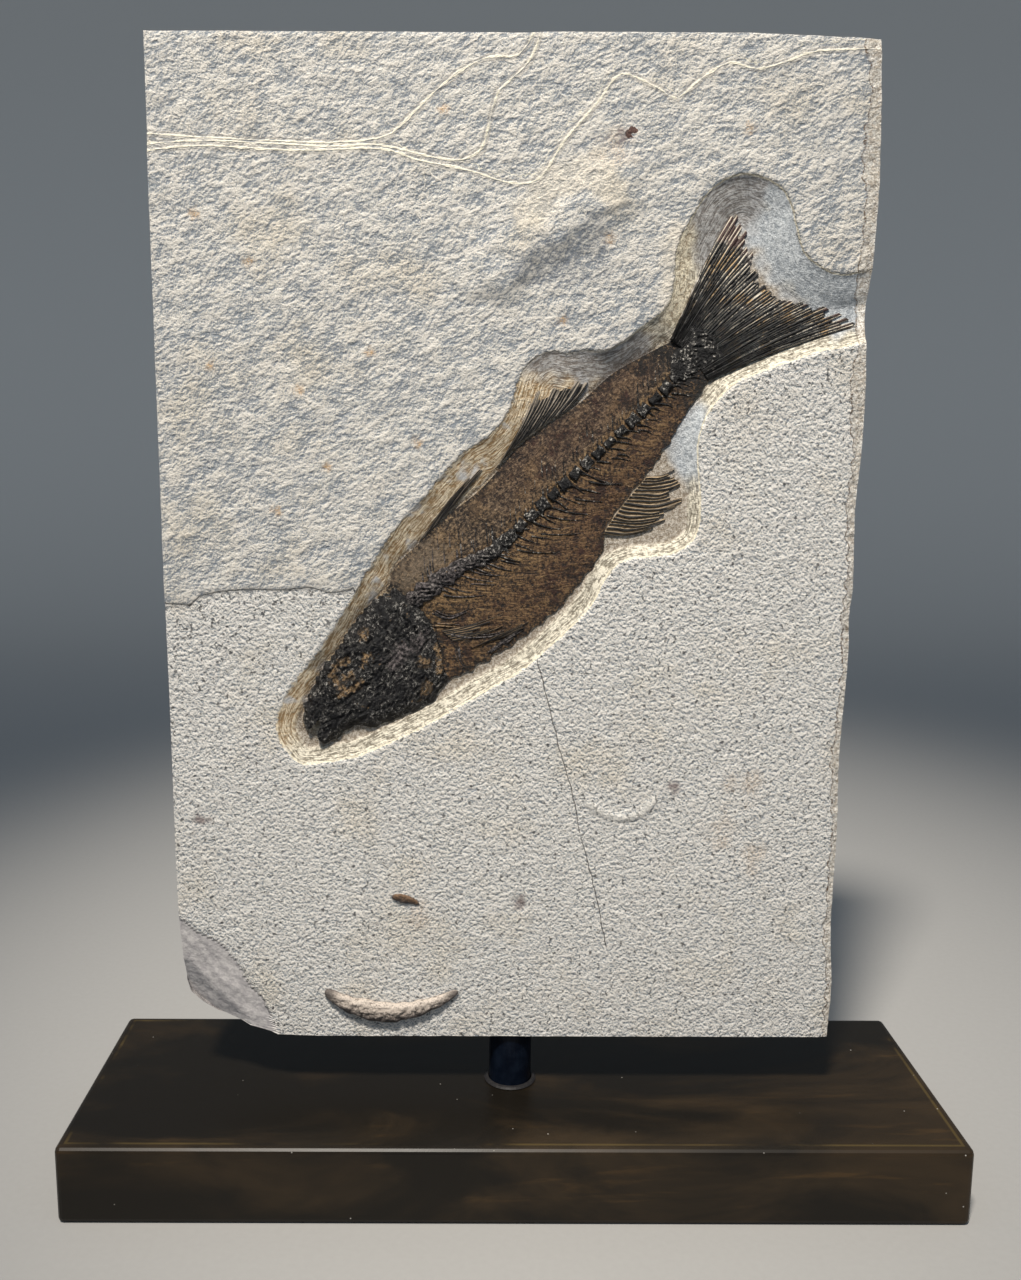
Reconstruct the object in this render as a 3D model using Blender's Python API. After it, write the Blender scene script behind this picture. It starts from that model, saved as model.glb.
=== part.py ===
"""Fossil fish slab: a dressed block of laminated limestone with a bony fish in a prepared hollow, pinned on a
steel post that stands in a patinated steel base.

Metres, +Z up, the slab's face looks along -Y. The origin is the middle of the base's underside.
Every stone and bone piece is a relief: an outline on the slab's face, filled with triangles, whose corners stand
out from the slab's middle plane by a level that a function gives.
"""

import math

import bmesh
import bpy
from mathutils import Vector, noise
from mathutils.geometry import delaunay_2d_cdt

MM = 0.001
GAP = 0.3 * MM  # kept between pieces that touch

# Base, post and glue
BASE_WIDTH, BASE_DEPTH, BASE_HEIGHT = 254 * MM, 76.2 * MM, 22.9 * MM
BASE_EDGE_RADIUS = 1.6 * MM
POST_RADIUS = 6.35 * MM
POST_IN_BASE = 14 * MM
POST_SHOWN = 17.6 * MM
PIN_RADIUS = 4 * MM
PIN_IN_SLAB = 22 * MM
BEAD_WIDTH, BEAD_HEIGHT = 1.2 * MM, 0.7 * MM
ROUND_STEPS = 32

# Slab
SLAB_THICKNESS = 18 * MM
SLAB_LEFT, SLAB_RIGHT = -97.5 * MM, 93.5 * MM
SLAB_BOTTOM = BASE_HEIGHT + POST_SHOWN
SLAB_TOP_LEFT, SLAB_TOP_RIGHT = SLAB_BOTTOM + 279.3 * MM, SLAB_BOTTOM + 277.4 * MM
BACK_LEVEL = -SLAB_THICKNESS / 2
UPPER_BED = SLAB_THICKNESS / 2
LOWER_BED = UPPER_BED - 1.2 * MM
LEDGE_DROP = 0.35 * MM  # each thin ledge near the top steps down by this
LEDGE_RUN = 0.6 * MM  # how far a ledge's face slopes
ROUGHNESS = 0.35 * MM
ROUGHNESS_SIZE = 9 * MM
FACE_SPACING = 7 * MM  # between the free corners of the dressed face

# Prepared hollow round the fish
HOLLOW_FLOOR = UPPER_BED - 4.2 * MM
WALL_ABOVE, WALL_BELOW = 4.0 * MM, 4.6 * MM  # width of its sloping wall, on the fish's back and belly side
WALL_UNDER_TAIL = 1.6 * MM
TAIL_START, TAIL_SPAN = 135 * MM, 18 * MM

# Fish: points on it are (along, across) from the snout, the second towards its back
SNOUT = Vector((-60 * MM, 135.1 * MM))
FISH_ANGLE = math.radians(44)
BONE_STEP = 1.4 * MM


def mm(*points):
    """Points written in millimetres, in metres."""
    return [Vector(p) * MM for p in points]


# Outlines and lines on the slab's face, as (x, z)
CHIPPED_CORNER = mm((-97.3, 77.4), (-96.6, 65), (-95.6, 55.7), (-94.6, 52.2), (-90.5, 49.4), (-86.8, 46.9),
                    (-81.8, 45.6), (-77.4, 43.8), (-71.5, 42.6), (-69.5, 40.5))
CHIP_BRINK = mm((-97.3, 77.4), (-92, 73), (-85.5, 69.5), (-80.7, 63.5), (-78, 57.3), (-73.7, 52.6), (-69.5, 40.5))
CHIP_FACET = mm((-96.5, 64), (-88, 56), (-80, 47), (-77.4, 43.8))
BROKEN_EDGE = mm((92.7, 40.5), (93.2, 57.9), (92.1, 74.9), (92.3, 105.3), (91.8, 126), (92.8, 157.7), (92.3, 166.2),
                 (93.0, 174.6), (92.6, 196.7), (93.7, 210.3), (94.0, 227.7), (93.0, 244.8), (93.8, 260.2),
                 (95.0, 283.0), (94.1, 305.3), (93.5, 317.9))
BROKEN_BRINK = mm((91.3, 40.5), (91.8, 58), (90.4, 76), (91.0, 105), (89.8, 126), (91.4, 150), (90.6, 166),
                  (91.4, 178), (90.4, 199.5), (91.6, 212), (89.8, 227), (91.2, 245), (90.0, 262), (91.6, 275),
                  (89.9, 290), (91.2, 305), (89.2, 317.9))
BED_LEDGE = mm((-98, 170.1), (-90.7, 169.6), (-87.9, 172.1), (-82.3, 173.5), (-73.9, 174.1), (-65.6, 173.9),
               (-57.2, 174.7), (-51.7, 173.1), (-47.5, 173.7), (-45, 174.5), (-42, 158), (46, 238), (80, 255),
               (96, 247))
TOP_LEDGES = [
    mm((-98, 289.9), (-83.8, 291.2), (-57.7, 290.1), (-36.8, 290.6), (-26.3, 287.7), (-13.2, 285.2), (-2.7, 282.2),
       (5.2, 283.3), (11.6, 292.7), (20.5, 302.6), (26.1, 309.2), (36, 305.6), (40.8, 303.2), (46.3, 307.6),
       (53.9, 312), (61.7, 310.5), (69.4, 312.5), (77, 314.9), (96, 315.7)),
    mm((-98, 291.8), (-80, 292.5), (-50, 291.2), (-36.8, 291.6), (-18.5, 287.9), (-10.6, 290.2), (-8, 297.6),
       (-5.5, 305), (2.2, 312.3), (6, 322)),
    mm((-98, 294.4), (-86.4, 293.6), (-73.4, 293), (-57.7, 292.4), (-49.9, 292.2), (-36.8, 293.4), (-31.5, 296.3),
       (-23.7, 303.7), (-15.9, 309.8), (-8.1, 313.5), (-0.4, 314), (4.7, 322)),
]
MOUND = (Vector((11 * MM, 269 * MM)), 13 * MM, 1.8 * MM)  # middle, radius, height
DENT = (Vector((2 * MM, 82 * MM)), 4 * MM, -0.6 * MM)
RIDGE_LINE = mm((21.7, 112.5), (24.6, 110.2), (30.4, 108.1), (36.1, 109.2), (40.3, 113.1))
RIDGE_HALF_WIDTH, RIDGE_HEIGHT = 2.2 * MM, 1.1 * MM
COPROLITE_LINE = mm((-55, 54.8), (-49, 51), (-39, 48.7), (-30, 49), (-22, 51.6), (-16, 54.9))
COPROLITE_HALF_WIDTH, COPROLITE_HEIGHT = 3.1 * MM, 2.6 * MM
SCRAP_LINE = mm((-35.2, 84), (-31, 83.4), (-27.3, 81.9))
SCRAP_HALF_WIDTH, SCRAP_HEIGHT = 1.3 * MM, 0.9 * MM
SCALE_LINE = mm((30.2, 298.2), (28.6, 294.5), (26.2, 290.6))
SCALE_HALF_WIDTH, SCALE_HEIGHT = 2.3 * MM, 0.7 * MM

# Outlines on the fish, as (along, across)
HOLLOW_BRINK = mm(
    (-8.9, -7), (-4.8, -11), (4.2, -17), (15.2, -21.3), (26.9, -24.8), (33.1, -26.3), (45.1, -29.2), (57.4, -31.9),
    (76.2, -32.3), (84, -31.4), (88.5, -29.6), (93.7, -28.2), (98.5, -29.2), (104.1, -33.5), (109, -36.8),
    (114.5, -38), (118.4, -36.8), (124.4, -31.1), (129.5, -24.6), (135.4, -18.3), (141.8, -15), (150.5, -13.9),
    (157, -15.9), (165.5, -19.7), (173.9, -23.6), (184, -30), (197, -37), (203, -22), (191.5, -12), (188.6, -6),
    (188.2, -1.1), (190.4, 4.2), (193.4, 9.6), (194.5, 15.5), (192.4, 21.6), (189.1, 25.6), (184.9, 27.6),
    (180.2, 28.2), (176.1, 27.6), (168.1, 25.2), (163, 22.4), (156.8, 16.6), (151, 14), (143.2, 15), (136.9, 15.6),
    (131.8, 17.4), (129.3, 20.4), (124.8, 23.4), (122.7, 26.3), (119, 28.5), (112.7, 28.8), (109.3, 27.3),
    (105.7, 24.9), (101.7, 23.3), (96, 22.4), (90.9, 22.9), (87.8, 23.8), (79.3, 23.6), (70.6, 22.7), (60.3, 22.3),
    (52, 20.8), (46.8, 19.3), (41.5, 18.3), (33.9, 16.1), (27.8, 14.5), (20.9, 12.9), (13.6, 11.6), (4.6, 10.3),
    (-2.4, 7.9), (-6, 5.2), (-8.3, 1.3))
BACK_EDGE = mm((45.6, 11.6), (50.2, 14.2), (60.9, 14.3), (71.5, 14.2), (81.9, 13.2), (89.1, 13.6), (97.6, 14.2),
               (107.6, 13), (117.3, 11.4), (127, 11.2), (132.8, 10.4), (142.8, 7.6), (146.5, 6.4))
BELLY_EDGE = mm((146.5, -8.6), (137.7, -10.8), (132.4, -12.3), (127.1, -13.8), (117.7, -15.6), (107, -16.8),
                (100, -18.6), (96.5, -22), (90.8, -23.9), (83.2, -24.9), (76, -26), (69.2, -25.6), (59.2, -24.5),
                (50.6, -22.7), (42.5, -20.8))
GILL_EDGE = mm((38.6, -17.9), (43.6, -11.1), (46.2, -3.9), (46.4, 3), (45, 9))
HEAD_CROWN = mm((-0.8, -1.5), (1.5, 1.9), (6, 4.8), (11.7, 6.7), (16.3, 8.3), (21.7, 8.6), (26.3, 10), (31.7, 11.2),
                (38.9, 11.6), (43, 10.8))
HEAD_JAW = mm((34.5, -19.8), (29.6, -20.4), (21, -17.4), (14.6, -14.9), (10.1, -10.4), (3.4, -9.2), (1.5, -7.6),
              (6, -5.4), (1, -4))
SPINE_LINE = mm((47.4, 5.4), (50.9, 4.9), (57.8, 3.8), (64.6, 2.2), (71.2, -0.6), (77.5, -1.4), (84.6, -1.2),
                (101.1, -1.3), (117.5, -1.5), (134.6, -1.5), (145.6, -0.6))
EYE_MIDDLE, EYE_LENGTH, EYE_HEIGHT = Vector((20 * MM, 3 * MM)), 6.5 * MM, 3.4 * MM

FLANK_EDGE, FLANK_CROWN = 0.6 * MM, 1.0 * MM  # height at its rim, and what its middle adds
SKULL_EDGE, SKULL_CROWN = 0.8 * MM, 1.7 * MM
STEM_HEIGHT, RAY_HEIGHT = 0.9 * MM, 0.55 * MM
VERTEBRA_COUNT = 26
VERTEBRA_HALF_WIDTH, VERTEBRA_WAIST = 1.5 * MM, 0.95 * MM
RIB_HALF_WIDTH, SPINE_HALF_WIDTH, RAY_HALF_WIDTH = 0.42 * MM, 0.34 * MM, 0.48 * MM

LIMESTONE = ((0.56, 0.53, 0.46, 1), 0.95, 0.0)
FOSSIL_SKIN = ((0.12, 0.066, 0.03, 1), 0.6, 0.0)
FOSSIL_BONE = ((0.02, 0.018, 0.018, 1), 0.4, 0.0)
COPROLITE = ((0.2, 0.15, 0.11, 1), 0.8, 0.0)
PATINATED_STEEL = ((0.03, 0.024, 0.017, 1), 0.35, 0.85)
BLACK_STEEL = ((0.01, 0.014, 0.02, 1), 0.35, 0.9)
CLEAR_GLUE = ((0.16, 0.13, 0.12, 1), 0.3, 0.0)


# ---------------------------------------------------------------- plane geometry

def smoothed(points, step, closed=False):
    """A smooth (Catmull-Rom) curve through the points, with a point about every step."""
    count = len(points)
    curve = []
    for i in range(count if closed else count - 1):
        if closed:
            a, b, c, d = (points[(i + k) % count] for k in (-1, 0, 1, 2))
        else:
            a, b, c, d = (points[min(max(i + k, 0), count - 1)] for k in (-1, 0, 1, 2))
        pieces = max(1, round((c - b).length / step))
        for n in range(pieces):
            t = n / pieces
            curve.append(b + ((c - a) * t + (2 * a - 5 * b + 4 * c - d) * t * t
                              + (3 * b - a - 3 * c + d) * t * t * t) / 2)
    return curve if closed else curve + [points[-1].copy()]


def from_fish(point):
    """A point on the fish, as a point on the slab's face."""
    along, across = point
    return SNOUT + Vector((along * math.cos(FISH_ANGLE) - across * math.sin(FISH_ANGLE),
                           along * math.sin(FISH_ANGLE) + across * math.cos(FISH_ANGLE)))


def to_fish(point):
    """A point on the slab's face, as a point on the fish."""
    x, z = point - SNOUT
    return Vector((x * math.cos(FISH_ANGLE) + z * math.sin(FISH_ANGLE),
                   z * math.cos(FISH_ANGLE) - x * math.sin(FISH_ANGLE)))


def distance_to(point, line, closed=False):
    """The distance from a point to a line of points."""
    nearest = math.inf
    for a, b in zip(line, line[1:] + line[:1] if closed else line[1:]):
        run = b - a
        share = max(0.0, min(1.0, (point - a).dot(run) / run.length_squared))
        nearest = min(nearest, (point - a - run * share).length)
    return nearest


def is_inside(point, outline):
    inside = False
    for a, b in zip(outline, outline[1:] + outline[:1]):
        if (a.y > point.y) != (b.y > point.y):
            inside ^= point.x < a.x + (point.y - a.y) * (b.x - a.x) / (b.y - a.y)
    return inside


def depth_inside(point, outline):
    """How far inside an outline a point is; negative outside."""
    distance = distance_to(point, outline, closed=True)
    return distance if is_inside(point, outline) else -distance


def height_on(line, x):
    """A line's second coordinate where its first is x."""
    for a, b in zip(line, line[1:]):
        if a.x <= x <= b.x:
            return a.y + (b.y - a.y) * (x - a.x) / (b.x - a.x)
    return line[0].y if x < line[0].x else line[-1].y


def shifted(line, dx, dy):
    return [p + Vector((dx, dy)) for p in line]


def widened(line, half_width, tip_share=1.0):
    """The outline of a strip along a line, its far end tip_share as wide as its near one."""
    left, right = [], []
    for i, point in enumerate(line):
        run = (line[min(i + 1, len(line) - 1)] - line[max(i - 1, 0)]).normalized()
        half = half_width * (1 + (tip_share - 1) * i / (len(line) - 1))
        side = Vector((-run.y, run.x)) * half
        left.append(point + side)
        right.append(point - side)
    return right + left[::-1]


def lens(line, half_width, blunt=0.15):
    """The outline of a pod along a line: widest in the middle and narrow at both ends."""
    left, right = [], []
    for i, point in enumerate(line):
        run = (line[min(i + 1, len(line) - 1)] - line[max(i - 1, 0)]).normalized()
        swell = blunt + (1 - blunt) * math.sin(math.pi * i / (len(line) - 1)) ** 0.7
        side = Vector((-run.y, run.x)) * half_width * swell
        left.append(point + side)
        right.append(point - side)
    return right + left[::-1]


def inset(outline, width_at):
    """An outline moved inwards, each point by its own width."""
    moved = []
    for i, point in enumerate(outline):
        run = (outline[(i + 1) % len(outline)] - outline[i - 1]).normalized()
        moved.append(point + Vector((-run.y, run.x)) * width_at(point))
    return moved


def grid_inside(outline, spacing, margin):
    """Free points inside an outline on a brick pattern, clear of its rim."""
    low = Vector((min(p.x for p in outline), min(p.y for p in outline)))
    high = Vector((max(p.x for p in outline), max(p.y for p in outline)))
    rows = int((high.y - low.y) / spacing)
    columns = int((high.x - low.x) / spacing)
    points = (low + Vector(((column + 0.5 * (row % 2)) * spacing, row * spacing))
              for row in range(rows + 1) for column in range(columns + 1))
    return [p for p in points if depth_inside(p, outline) > margin]


# ---------------------------------------------------------------- solids

def material(name, finish):
    colour, roughness, metallic = finish
    made = bpy.data.materials.new(name)
    made.use_nodes = True
    made.diffuse_color = colour
    surface = made.node_tree.nodes["Principled BSDF"]
    surface.inputs["Base Color"].default_value = colour
    surface.inputs["Roughness"].default_value = roughness
    surface.inputs["Metallic"].default_value = metallic
    return made


def mesh_object(name, build, finish):
    """One named object whose mesh is what build leaves in a bmesh."""
    mesh = bpy.data.meshes.new(name)
    shape = bmesh.new()
    build(shape)
    bmesh.ops.recalc_face_normals(shape, faces=shape.faces)
    shape.to_mesh(mesh)
    shape.free()
    made = bpy.data.objects.new(name, mesh)
    made.data.materials.append(material(name + "_finish", finish))
    bpy.context.scene.collection.objects.link(made)
    return made


def fill(outlines, lines, dots):
    """(points, triangles) that fill the outlines, with edges along the lines and corners at the dots."""
    points, edges, faces = [], [], []
    for outline in outlines:
        faces.append(list(range(len(points), len(points) + len(outline))))
        points += outline
    for line in lines:
        edges += [(len(points) + i, len(points) + i + 1) for i in range(len(line) - 1)]
        points += line
    points += dots
    corners, _, triangles, _, _, fills = delaunay_2d_cdt(points, edges, faces, 1, 1e-6)
    return corners, [t for t, inside in zip(triangles, fills) if inside]


def relief(name, outlines, level, under, finish, lines=(), dots=()):
    """A solid between two levels over some outlines. Levels are measured out from the slab's middle plane."""
    points, triangles = fill(outlines, lines, dots)

    def build(shape):
        used = sorted({i for t in triangles for i in t})
        front = {i: shape.verts.new((points[i].x, -level(points[i]), points[i].y)) for i in used}
        back = {i: shape.verts.new((points[i].x, -under(points[i]), points[i].y)) for i in used}
        for t in triangles:
            shape.faces.new([front[i] for i in t])
            shape.faces.new([back[i] for i in reversed(t)])
        sides = {(t[k], t[(k + 1) % 3]) for t in triangles for k in range(3)}
        for a, b in sides:
            if (b, a) not in sides:
                shape.faces.new((front[b], front[a], back[a], back[b]))
        flat = [f for f in shape.faces if len({round(v.co.y, 7) for v in f.verts}) == 1]
        if flat:
            bmesh.ops.dissolve_limit(shape, angle_limit=math.radians(0.1), use_dissolve_boundaries=False,
                                     verts=list({v for f in flat for v in f.verts}),
                                     edges=list({e for f in flat for e in f.edges}))

    return mesh_object(name, build, finish)


def turned(name, profile, finish):
    """A solid of revolution about Z. The profile is (radius, height) points up its outside, closed at the axis
    where its ends lie on it, and otherwise closed as a ring."""
    is_ring = profile[0][0] > 0

    def build(shape):
        rings = []
        for radius, height in profile:
            angles = [math.tau * i / ROUND_STEPS for i in range(ROUND_STEPS)] if radius > 0 else [0]
            rings.append([shape.verts.new((radius * math.cos(a), radius * math.sin(a), height)) for a in angles])
        pairs = list(zip(rings, rings[1:])) + ([(rings[-1], rings[0])] if is_ring else [])
        for low, high in pairs:
            for i in range(ROUND_STEPS):
                j = (i + 1) % ROUND_STEPS
                corners = [low[i % len(low)], low[j % len(low)], high[j % len(high)], high[i % len(high)]]
                shape.faces.new(list(dict.fromkeys(corners)))

    made = mesh_object(name, build, finish)
    made.data.shade_smooth()
    made.data.set_sharp_from_angle(angle=math.radians(35))
    return made


def drilled(piece, radius, low, high):
    """Cuts a round vertical hole on the post's axis."""
    cutter = turned(piece.name + "_drill", [(0, low), (radius, low), (radius, high), (0, high)], BLACK_STEEL)
    cutter.hide_render = True
    cutter.display_type = "WIRE"
    cut = piece.modifiers.new("hole", "BOOLEAN")
    cut.operation = "DIFFERENCE"
    cut.object = cutter


# ---------------------------------------------------------------- base, post and glue

def make_base():
    def build(shape):
        bmesh.ops.create_cube(shape, size=1)
        bmesh.ops.scale(shape, vec=(BASE_WIDTH, BASE_DEPTH, BASE_HEIGHT), verts=shape.verts)
        bmesh.ops.translate(shape, vec=(0, 0, BASE_HEIGHT / 2), verts=shape.verts)

    base = mesh_object("base", build, PATINATED_STEEL)
    edge = base.modifiers.new("rounded_edges", "BEVEL")
    edge.width = BASE_EDGE_RADIUS
    edge.segments = 3
    drilled(base, POST_RADIUS + GAP, BASE_HEIGHT - POST_IN_BASE - GAP, BASE_HEIGHT + 5 * MM)


def make_post():
    shoulder = SLAB_BOTTOM - GAP
    foot = BASE_HEIGHT - POST_IN_BASE
    turned("post", [(0, foot), (POST_RADIUS, foot), (POST_RADIUS, shoulder), (PIN_RADIUS, shoulder),
                    (PIN_RADIUS, SLAB_BOTTOM + PIN_IN_SLAB), (0, SLAB_BOTTOM + PIN_IN_SLAB)], BLACK_STEEL)
    inner = POST_RADIUS + GAP
    low = BASE_HEIGHT + GAP
    turned("glue_bead", [(inner, low), (inner + BEAD_WIDTH, low), (inner + 0.6 * BEAD_WIDTH, low + 0.7 * BEAD_HEIGHT),
                         (inner, low + BEAD_HEIGHT)], CLEAR_GLUE)


# ---------------------------------------------------------------- slab

def bump(point, middle, radius, height):
    """A round swelling that fades out at its radius."""
    share = (point - middle).length / radius
    return height * (0.5 + 0.5 * math.cos(math.pi * share)) if share < 1 else 0.0


def wall_width(face_point):
    along, across = to_fish(face_point)
    if across > 0:
        return WALL_ABOVE
    share = max(0.0, min(1.0, (along - TAIL_START) / TAIL_SPAN))
    return WALL_BELOW + (WALL_UNDER_TAIL - WALL_BELOW) * share


class Face:
    """The slab's dressed face: the lines on it, and its level at any point."""

    def __init__(self):
        top = [Vector((SLAB_RIGHT, SLAB_TOP_RIGHT)), Vector((SLAB_LEFT, SLAB_TOP_LEFT))]
        self.outline = smoothed(BROKEN_EDGE, 6 * MM)[:-1] + top + CHIPPED_CORNER
        self.brink = [from_fish(p) for p in smoothed(HOLLOW_BRINK, 4.5 * MM, closed=True)]
        self.foot = inset(self.brink, wall_width)
        self.pods = [smoothed(line, 2 * MM) for line in (COPROLITE_LINE, SCRAP_LINE, SCALE_LINE)]

    def lines(self):
        """The edges that the face's triangles follow."""
        ledges = [smoothed(line, 6 * MM) for line in TOP_LEDGES]
        bed_ledge = BED_LEDGE[:10]
        ridge = smoothed(RIDGE_LINE, 2.5 * MM)
        return (
            [line + line[:1] for line in (self.brink, self.foot)]
            + ledges + [shifted(line, 0, LEDGE_RUN) for line in ledges]
            + [bed_ledge, shifted(bed_ledge, 0, LEDGE_RUN)]
            + [CHIP_BRINK, CHIP_FACET, smoothed(BROKEN_BRINK, 6 * MM)]
            + [ridge, widened(ridge, RIDGE_HALF_WIDTH, 1)]
        )

    def bed(self, point):
        """The level of the bedding plane that shows at a point."""
        above = point.y - height_on(BED_LEDGE, point.x)
        level = LOWER_BED + (UPPER_BED - LOWER_BED) * max(0.0, min(1.0, above / LEDGE_RUN))
        for ledge in TOP_LEDGES:
            above = point.y - height_on(ledge, point.x)
            level -= LEDGE_DROP * max(0.0, min(1.0, above / LEDGE_RUN))
        return level

    def level(self, point):
        level = self.bed(point) + bump(point, *MOUND) + bump(point, *DENT)
        level += RIDGE_HEIGHT * max(0.0, 1 - distance_to(point, RIDGE_LINE) / RIDGE_HALF_WIDTH)
        calm = min(1.0, min(distance_to(point, pod) for pod in self.pods) / (10 * MM))
        level += ROUGHNESS * calm * noise.noise(Vector((point.x, point.y, 0)) / ROUGHNESS_SIZE)
        beyond_brink = point.x - height_on([p.yx for p in BROKEN_BRINK], point.y)
        level -= max(0.0, beyond_brink) * 1.1
        level = min(level, self.chip(point))
        share = max(0.0, min(1.0, depth_inside(point, self.brink) / wall_width(point)))
        return level + (HOLLOW_FLOOR - level) * share

    def chip(self, point):
        """The broken corner: two facets that fall away from its brink."""
        if not is_inside(point, CHIP_BRINK + [Vector((-120 * MM, 30 * MM))]):
            return UPPER_BED
        level = LOWER_BED - 0.35 * distance_to(point, CHIP_BRINK)
        if is_inside(point, CHIP_FACET + [Vector((-120 * MM, 30 * MM))]):
            level -= 0.8 * distance_to(point, CHIP_FACET)
        return level


def make_slab(face):
    margin = 2.2 * MM
    dots = [p for p in grid_inside(face.outline, FACE_SPACING, margin)
            if min(distance_to(p, line) for line in face.lines()) > margin]
    slab = relief("slab", [face.outline], face.level, lambda point: BACK_LEVEL, LIMESTONE, face.lines(), dots)
    drilled(slab, PIN_RADIUS + GAP, SLAB_BOTTOM - 5 * MM, SLAB_BOTTOM + PIN_IN_SLAB + GAP)


def make_pod(name, line, half_width, height, face):
    """A small fossil that lies on the slab's face."""
    line = smoothed(line, 2 * MM)
    outline = lens(line, half_width)

    def seat(point):
        return face.bed(point) + GAP + 0.1 * MM

    def level(point):
        swell = max(0.0, 1 - (distance_to(point, line) / half_width) ** 2)
        return seat(point) + height * (0.3 + 0.7 * swell)

    relief(name, [outline], level, seat, COPROLITE, [line[1:-1]])


# ---------------------------------------------------------------- fish

def flank_outline():
    gill = shifted(GILL_EDGE, GAP, 0)
    rim = smoothed(BACK_EDGE, 5 * MM) + smoothed(BELLY_EDGE, 5 * MM) + smoothed(gill, 5 * MM)
    return [from_fish(p) for p in reversed(rim)]


def skull_outline():
    gill = shifted(GILL_EDGE, -GAP / 2, 0)
    rim = smoothed(HEAD_CROWN, 4 * MM) + list(reversed(smoothed(gill, 4 * MM))) + HEAD_JAW
    return [from_fish(p) for p in reversed(rim)]


def flank_level(point, outline):
    """The skin swells gently from its rim to the middle of the body."""
    share = min(1.0, max(0.0, depth_inside(point, outline)) / (16 * MM))
    return HOLLOW_FLOOR + GAP + FLANK_EDGE + FLANK_CROWN * math.sin(share * math.pi / 2)


def skull_level(point, outline):
    """A domed head with a sunken eye in a raised ring, and a cheek ridge above the jaw."""
    along, across = to_fish(point)
    share = min(1.0, max(0.0, depth_inside(point, outline)) / (8 * MM))
    level = HOLLOW_FLOOR + GAP + SKULL_EDGE + SKULL_CROWN * math.sin(share * math.pi / 2)
    eye = math.hypot((along - EYE_MIDDLE.x) / EYE_LENGTH, (across - EYE_MIDDLE.y) / EYE_HEIGHT)
    level += 0.5 * MM * math.exp(-((eye - 1.1) / 0.25) ** 2) - 0.8 * MM * math.exp(-(eye / 0.7) ** 2)
    cheek = (across + 5 * MM + 0.12 * along) / (1.5 * MM)
    return level + 0.4 * MM * math.exp(-cheek * cheek)


def ray(root, tip, bow=0.0, pieces=4):
    """A slightly bowed line from a root to a tip."""
    run = tip - root
    side = Vector((-run.y, run.x)) * bow
    return [root + run * (i / pieces) + side * math.sin(math.pi * i / pieces) for i in range(pieces + 1)]


def bones(name, strips, floor):
    """Thin bones fused into one piece: strips, each (line, half width, tip share) on the fish, where the first is
    the stout bone that the others grow from."""
    strips = [([from_fish(p) for p in line], half, share) for line, half, share in strips]
    stem, stem_half, _ = strips[0]

    def level(point):
        is_stem = distance_to(point, stem) < 1.7 * stem_half
        return floor(point) + (STEM_HEIGHT if is_stem else RAY_HEIGHT)

    relief(name, [widened(*strip) for strip in strips], level, floor, FOSSIL_BONE)


def vertebra(i):
    """Middle and direction of a vertebra's place on the spine line, counted from the head."""
    line = smoothed(SPINE_LINE, BONE_STEP)
    share = i / VERTEBRA_COUNT * (len(line) - 1)
    near = min(int(share), len(line) - 2)
    run = line[near + 1] - line[near]
    return line[near] + run * (share - near), run.normalized()


def make_backbone(on_flank):
    """The spine with its vertebrae, the spines above and below it, and the ribs."""
    strips = [(smoothed(SPINE_LINE, 5 * MM), VERTEBRA_WAIST, 1)]
    for i in range(VERTEBRA_COUNT):
        middle, along = vertebra(i + 0.5)
        across = Vector((-along.y, along.x))
        half_length = 1.5 * MM
        strips.append(([middle - along * half_length, middle + along * half_length], VERTEBRA_HALF_WIDTH, 1))
        if i % 2:
            continue
        reach = (9.5 - 0.22 * i) * MM
        tip = middle + across * reach + along * 0.6 * reach
        strips.append((ray(middle, tip, 0.05, 2), SPINE_HALF_WIDTH, 0.7))
        if i < 12:
            strips.append((ray(middle, middle - across * 15 * MM + along * 15 * MM, 0.2, 5), RIB_HALF_WIDTH, 0.7))
        else:
            reach = (11 - 0.25 * (i - 12)) * MM
            tip = middle - across * reach + along * 0.9 * reach
            strips.append((ray(middle, tip, 0.1, 3), SPINE_HALF_WIDTH, 0.7))
    bones("backbone", strips, on_flank)


def fan(roots, tips, count, bow, half_width=RAY_HALF_WIDTH):
    """Rays from evenly spread roots to evenly spread tips, and the strip of bone that joins their roots."""
    def along(line, share):
        place = share * (len(line) - 1)
        near = min(int(place), len(line) - 2)
        return line[near].lerp(line[near + 1], place - near)

    strips = [(smoothed(roots, 3 * MM), 1.1 * half_width, 1)]
    for i in range(count):
        share = i / (count - 1)
        strips.append((ray(along(roots, share), along(tips, share), bow), half_width, 0.6))
    return strips


def make_fins(on_floor, on_flank):
    bones("front_dorsal_fin", fan(mm((62, 15.4), (74, 15.7)), mm((84.5, 17.6), (87, 16.8)), 6, 0.02, 0.4 * MM),
          on_floor)
    bones("rear_dorsal_fin", fan(mm((90, 15), (98, 15.5), (108, 14.3), (115, 12.8)),
                                 mm((113.5, 21.5), (118, 18.5), (122, 15.4), (124, 13.2)), 10, -0.03), on_floor)
    bones("anal_fin", fan(mm((98.5, -20.6), (101.5, -19.5), (108, -17.9), (118, -16.7)),
                          mm((111, -28.4), (119, -28.2), (121.5, -26), (125, -20)), 11, -0.06), on_floor)
    bones("tail_fin", fan(mm((147.6, 6.6), (148.4, 0), (147.8, -8.4)),
                          mm((182.5, 20.5), (181, 10), (176.5, 1), (176.5, -4), (181.5, -13), (182.6, -22.4)),
                          22, 0.03, 0.75 * MM), on_floor)
    bones("pelvic_fin", fan(mm((50.5, -16.5), (55, -18.2)), mm((66, -20.5), (66.5, -23)), 6, -0.03, 0.4 * MM),
          on_flank)
    bones("pectoral_fin", fan(mm((48.2, -8), (48.6, -11.5)), mm((63, -16.6), (60.5, -18.6)), 5, -0.03, 0.4 * MM),
          on_flank)


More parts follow.
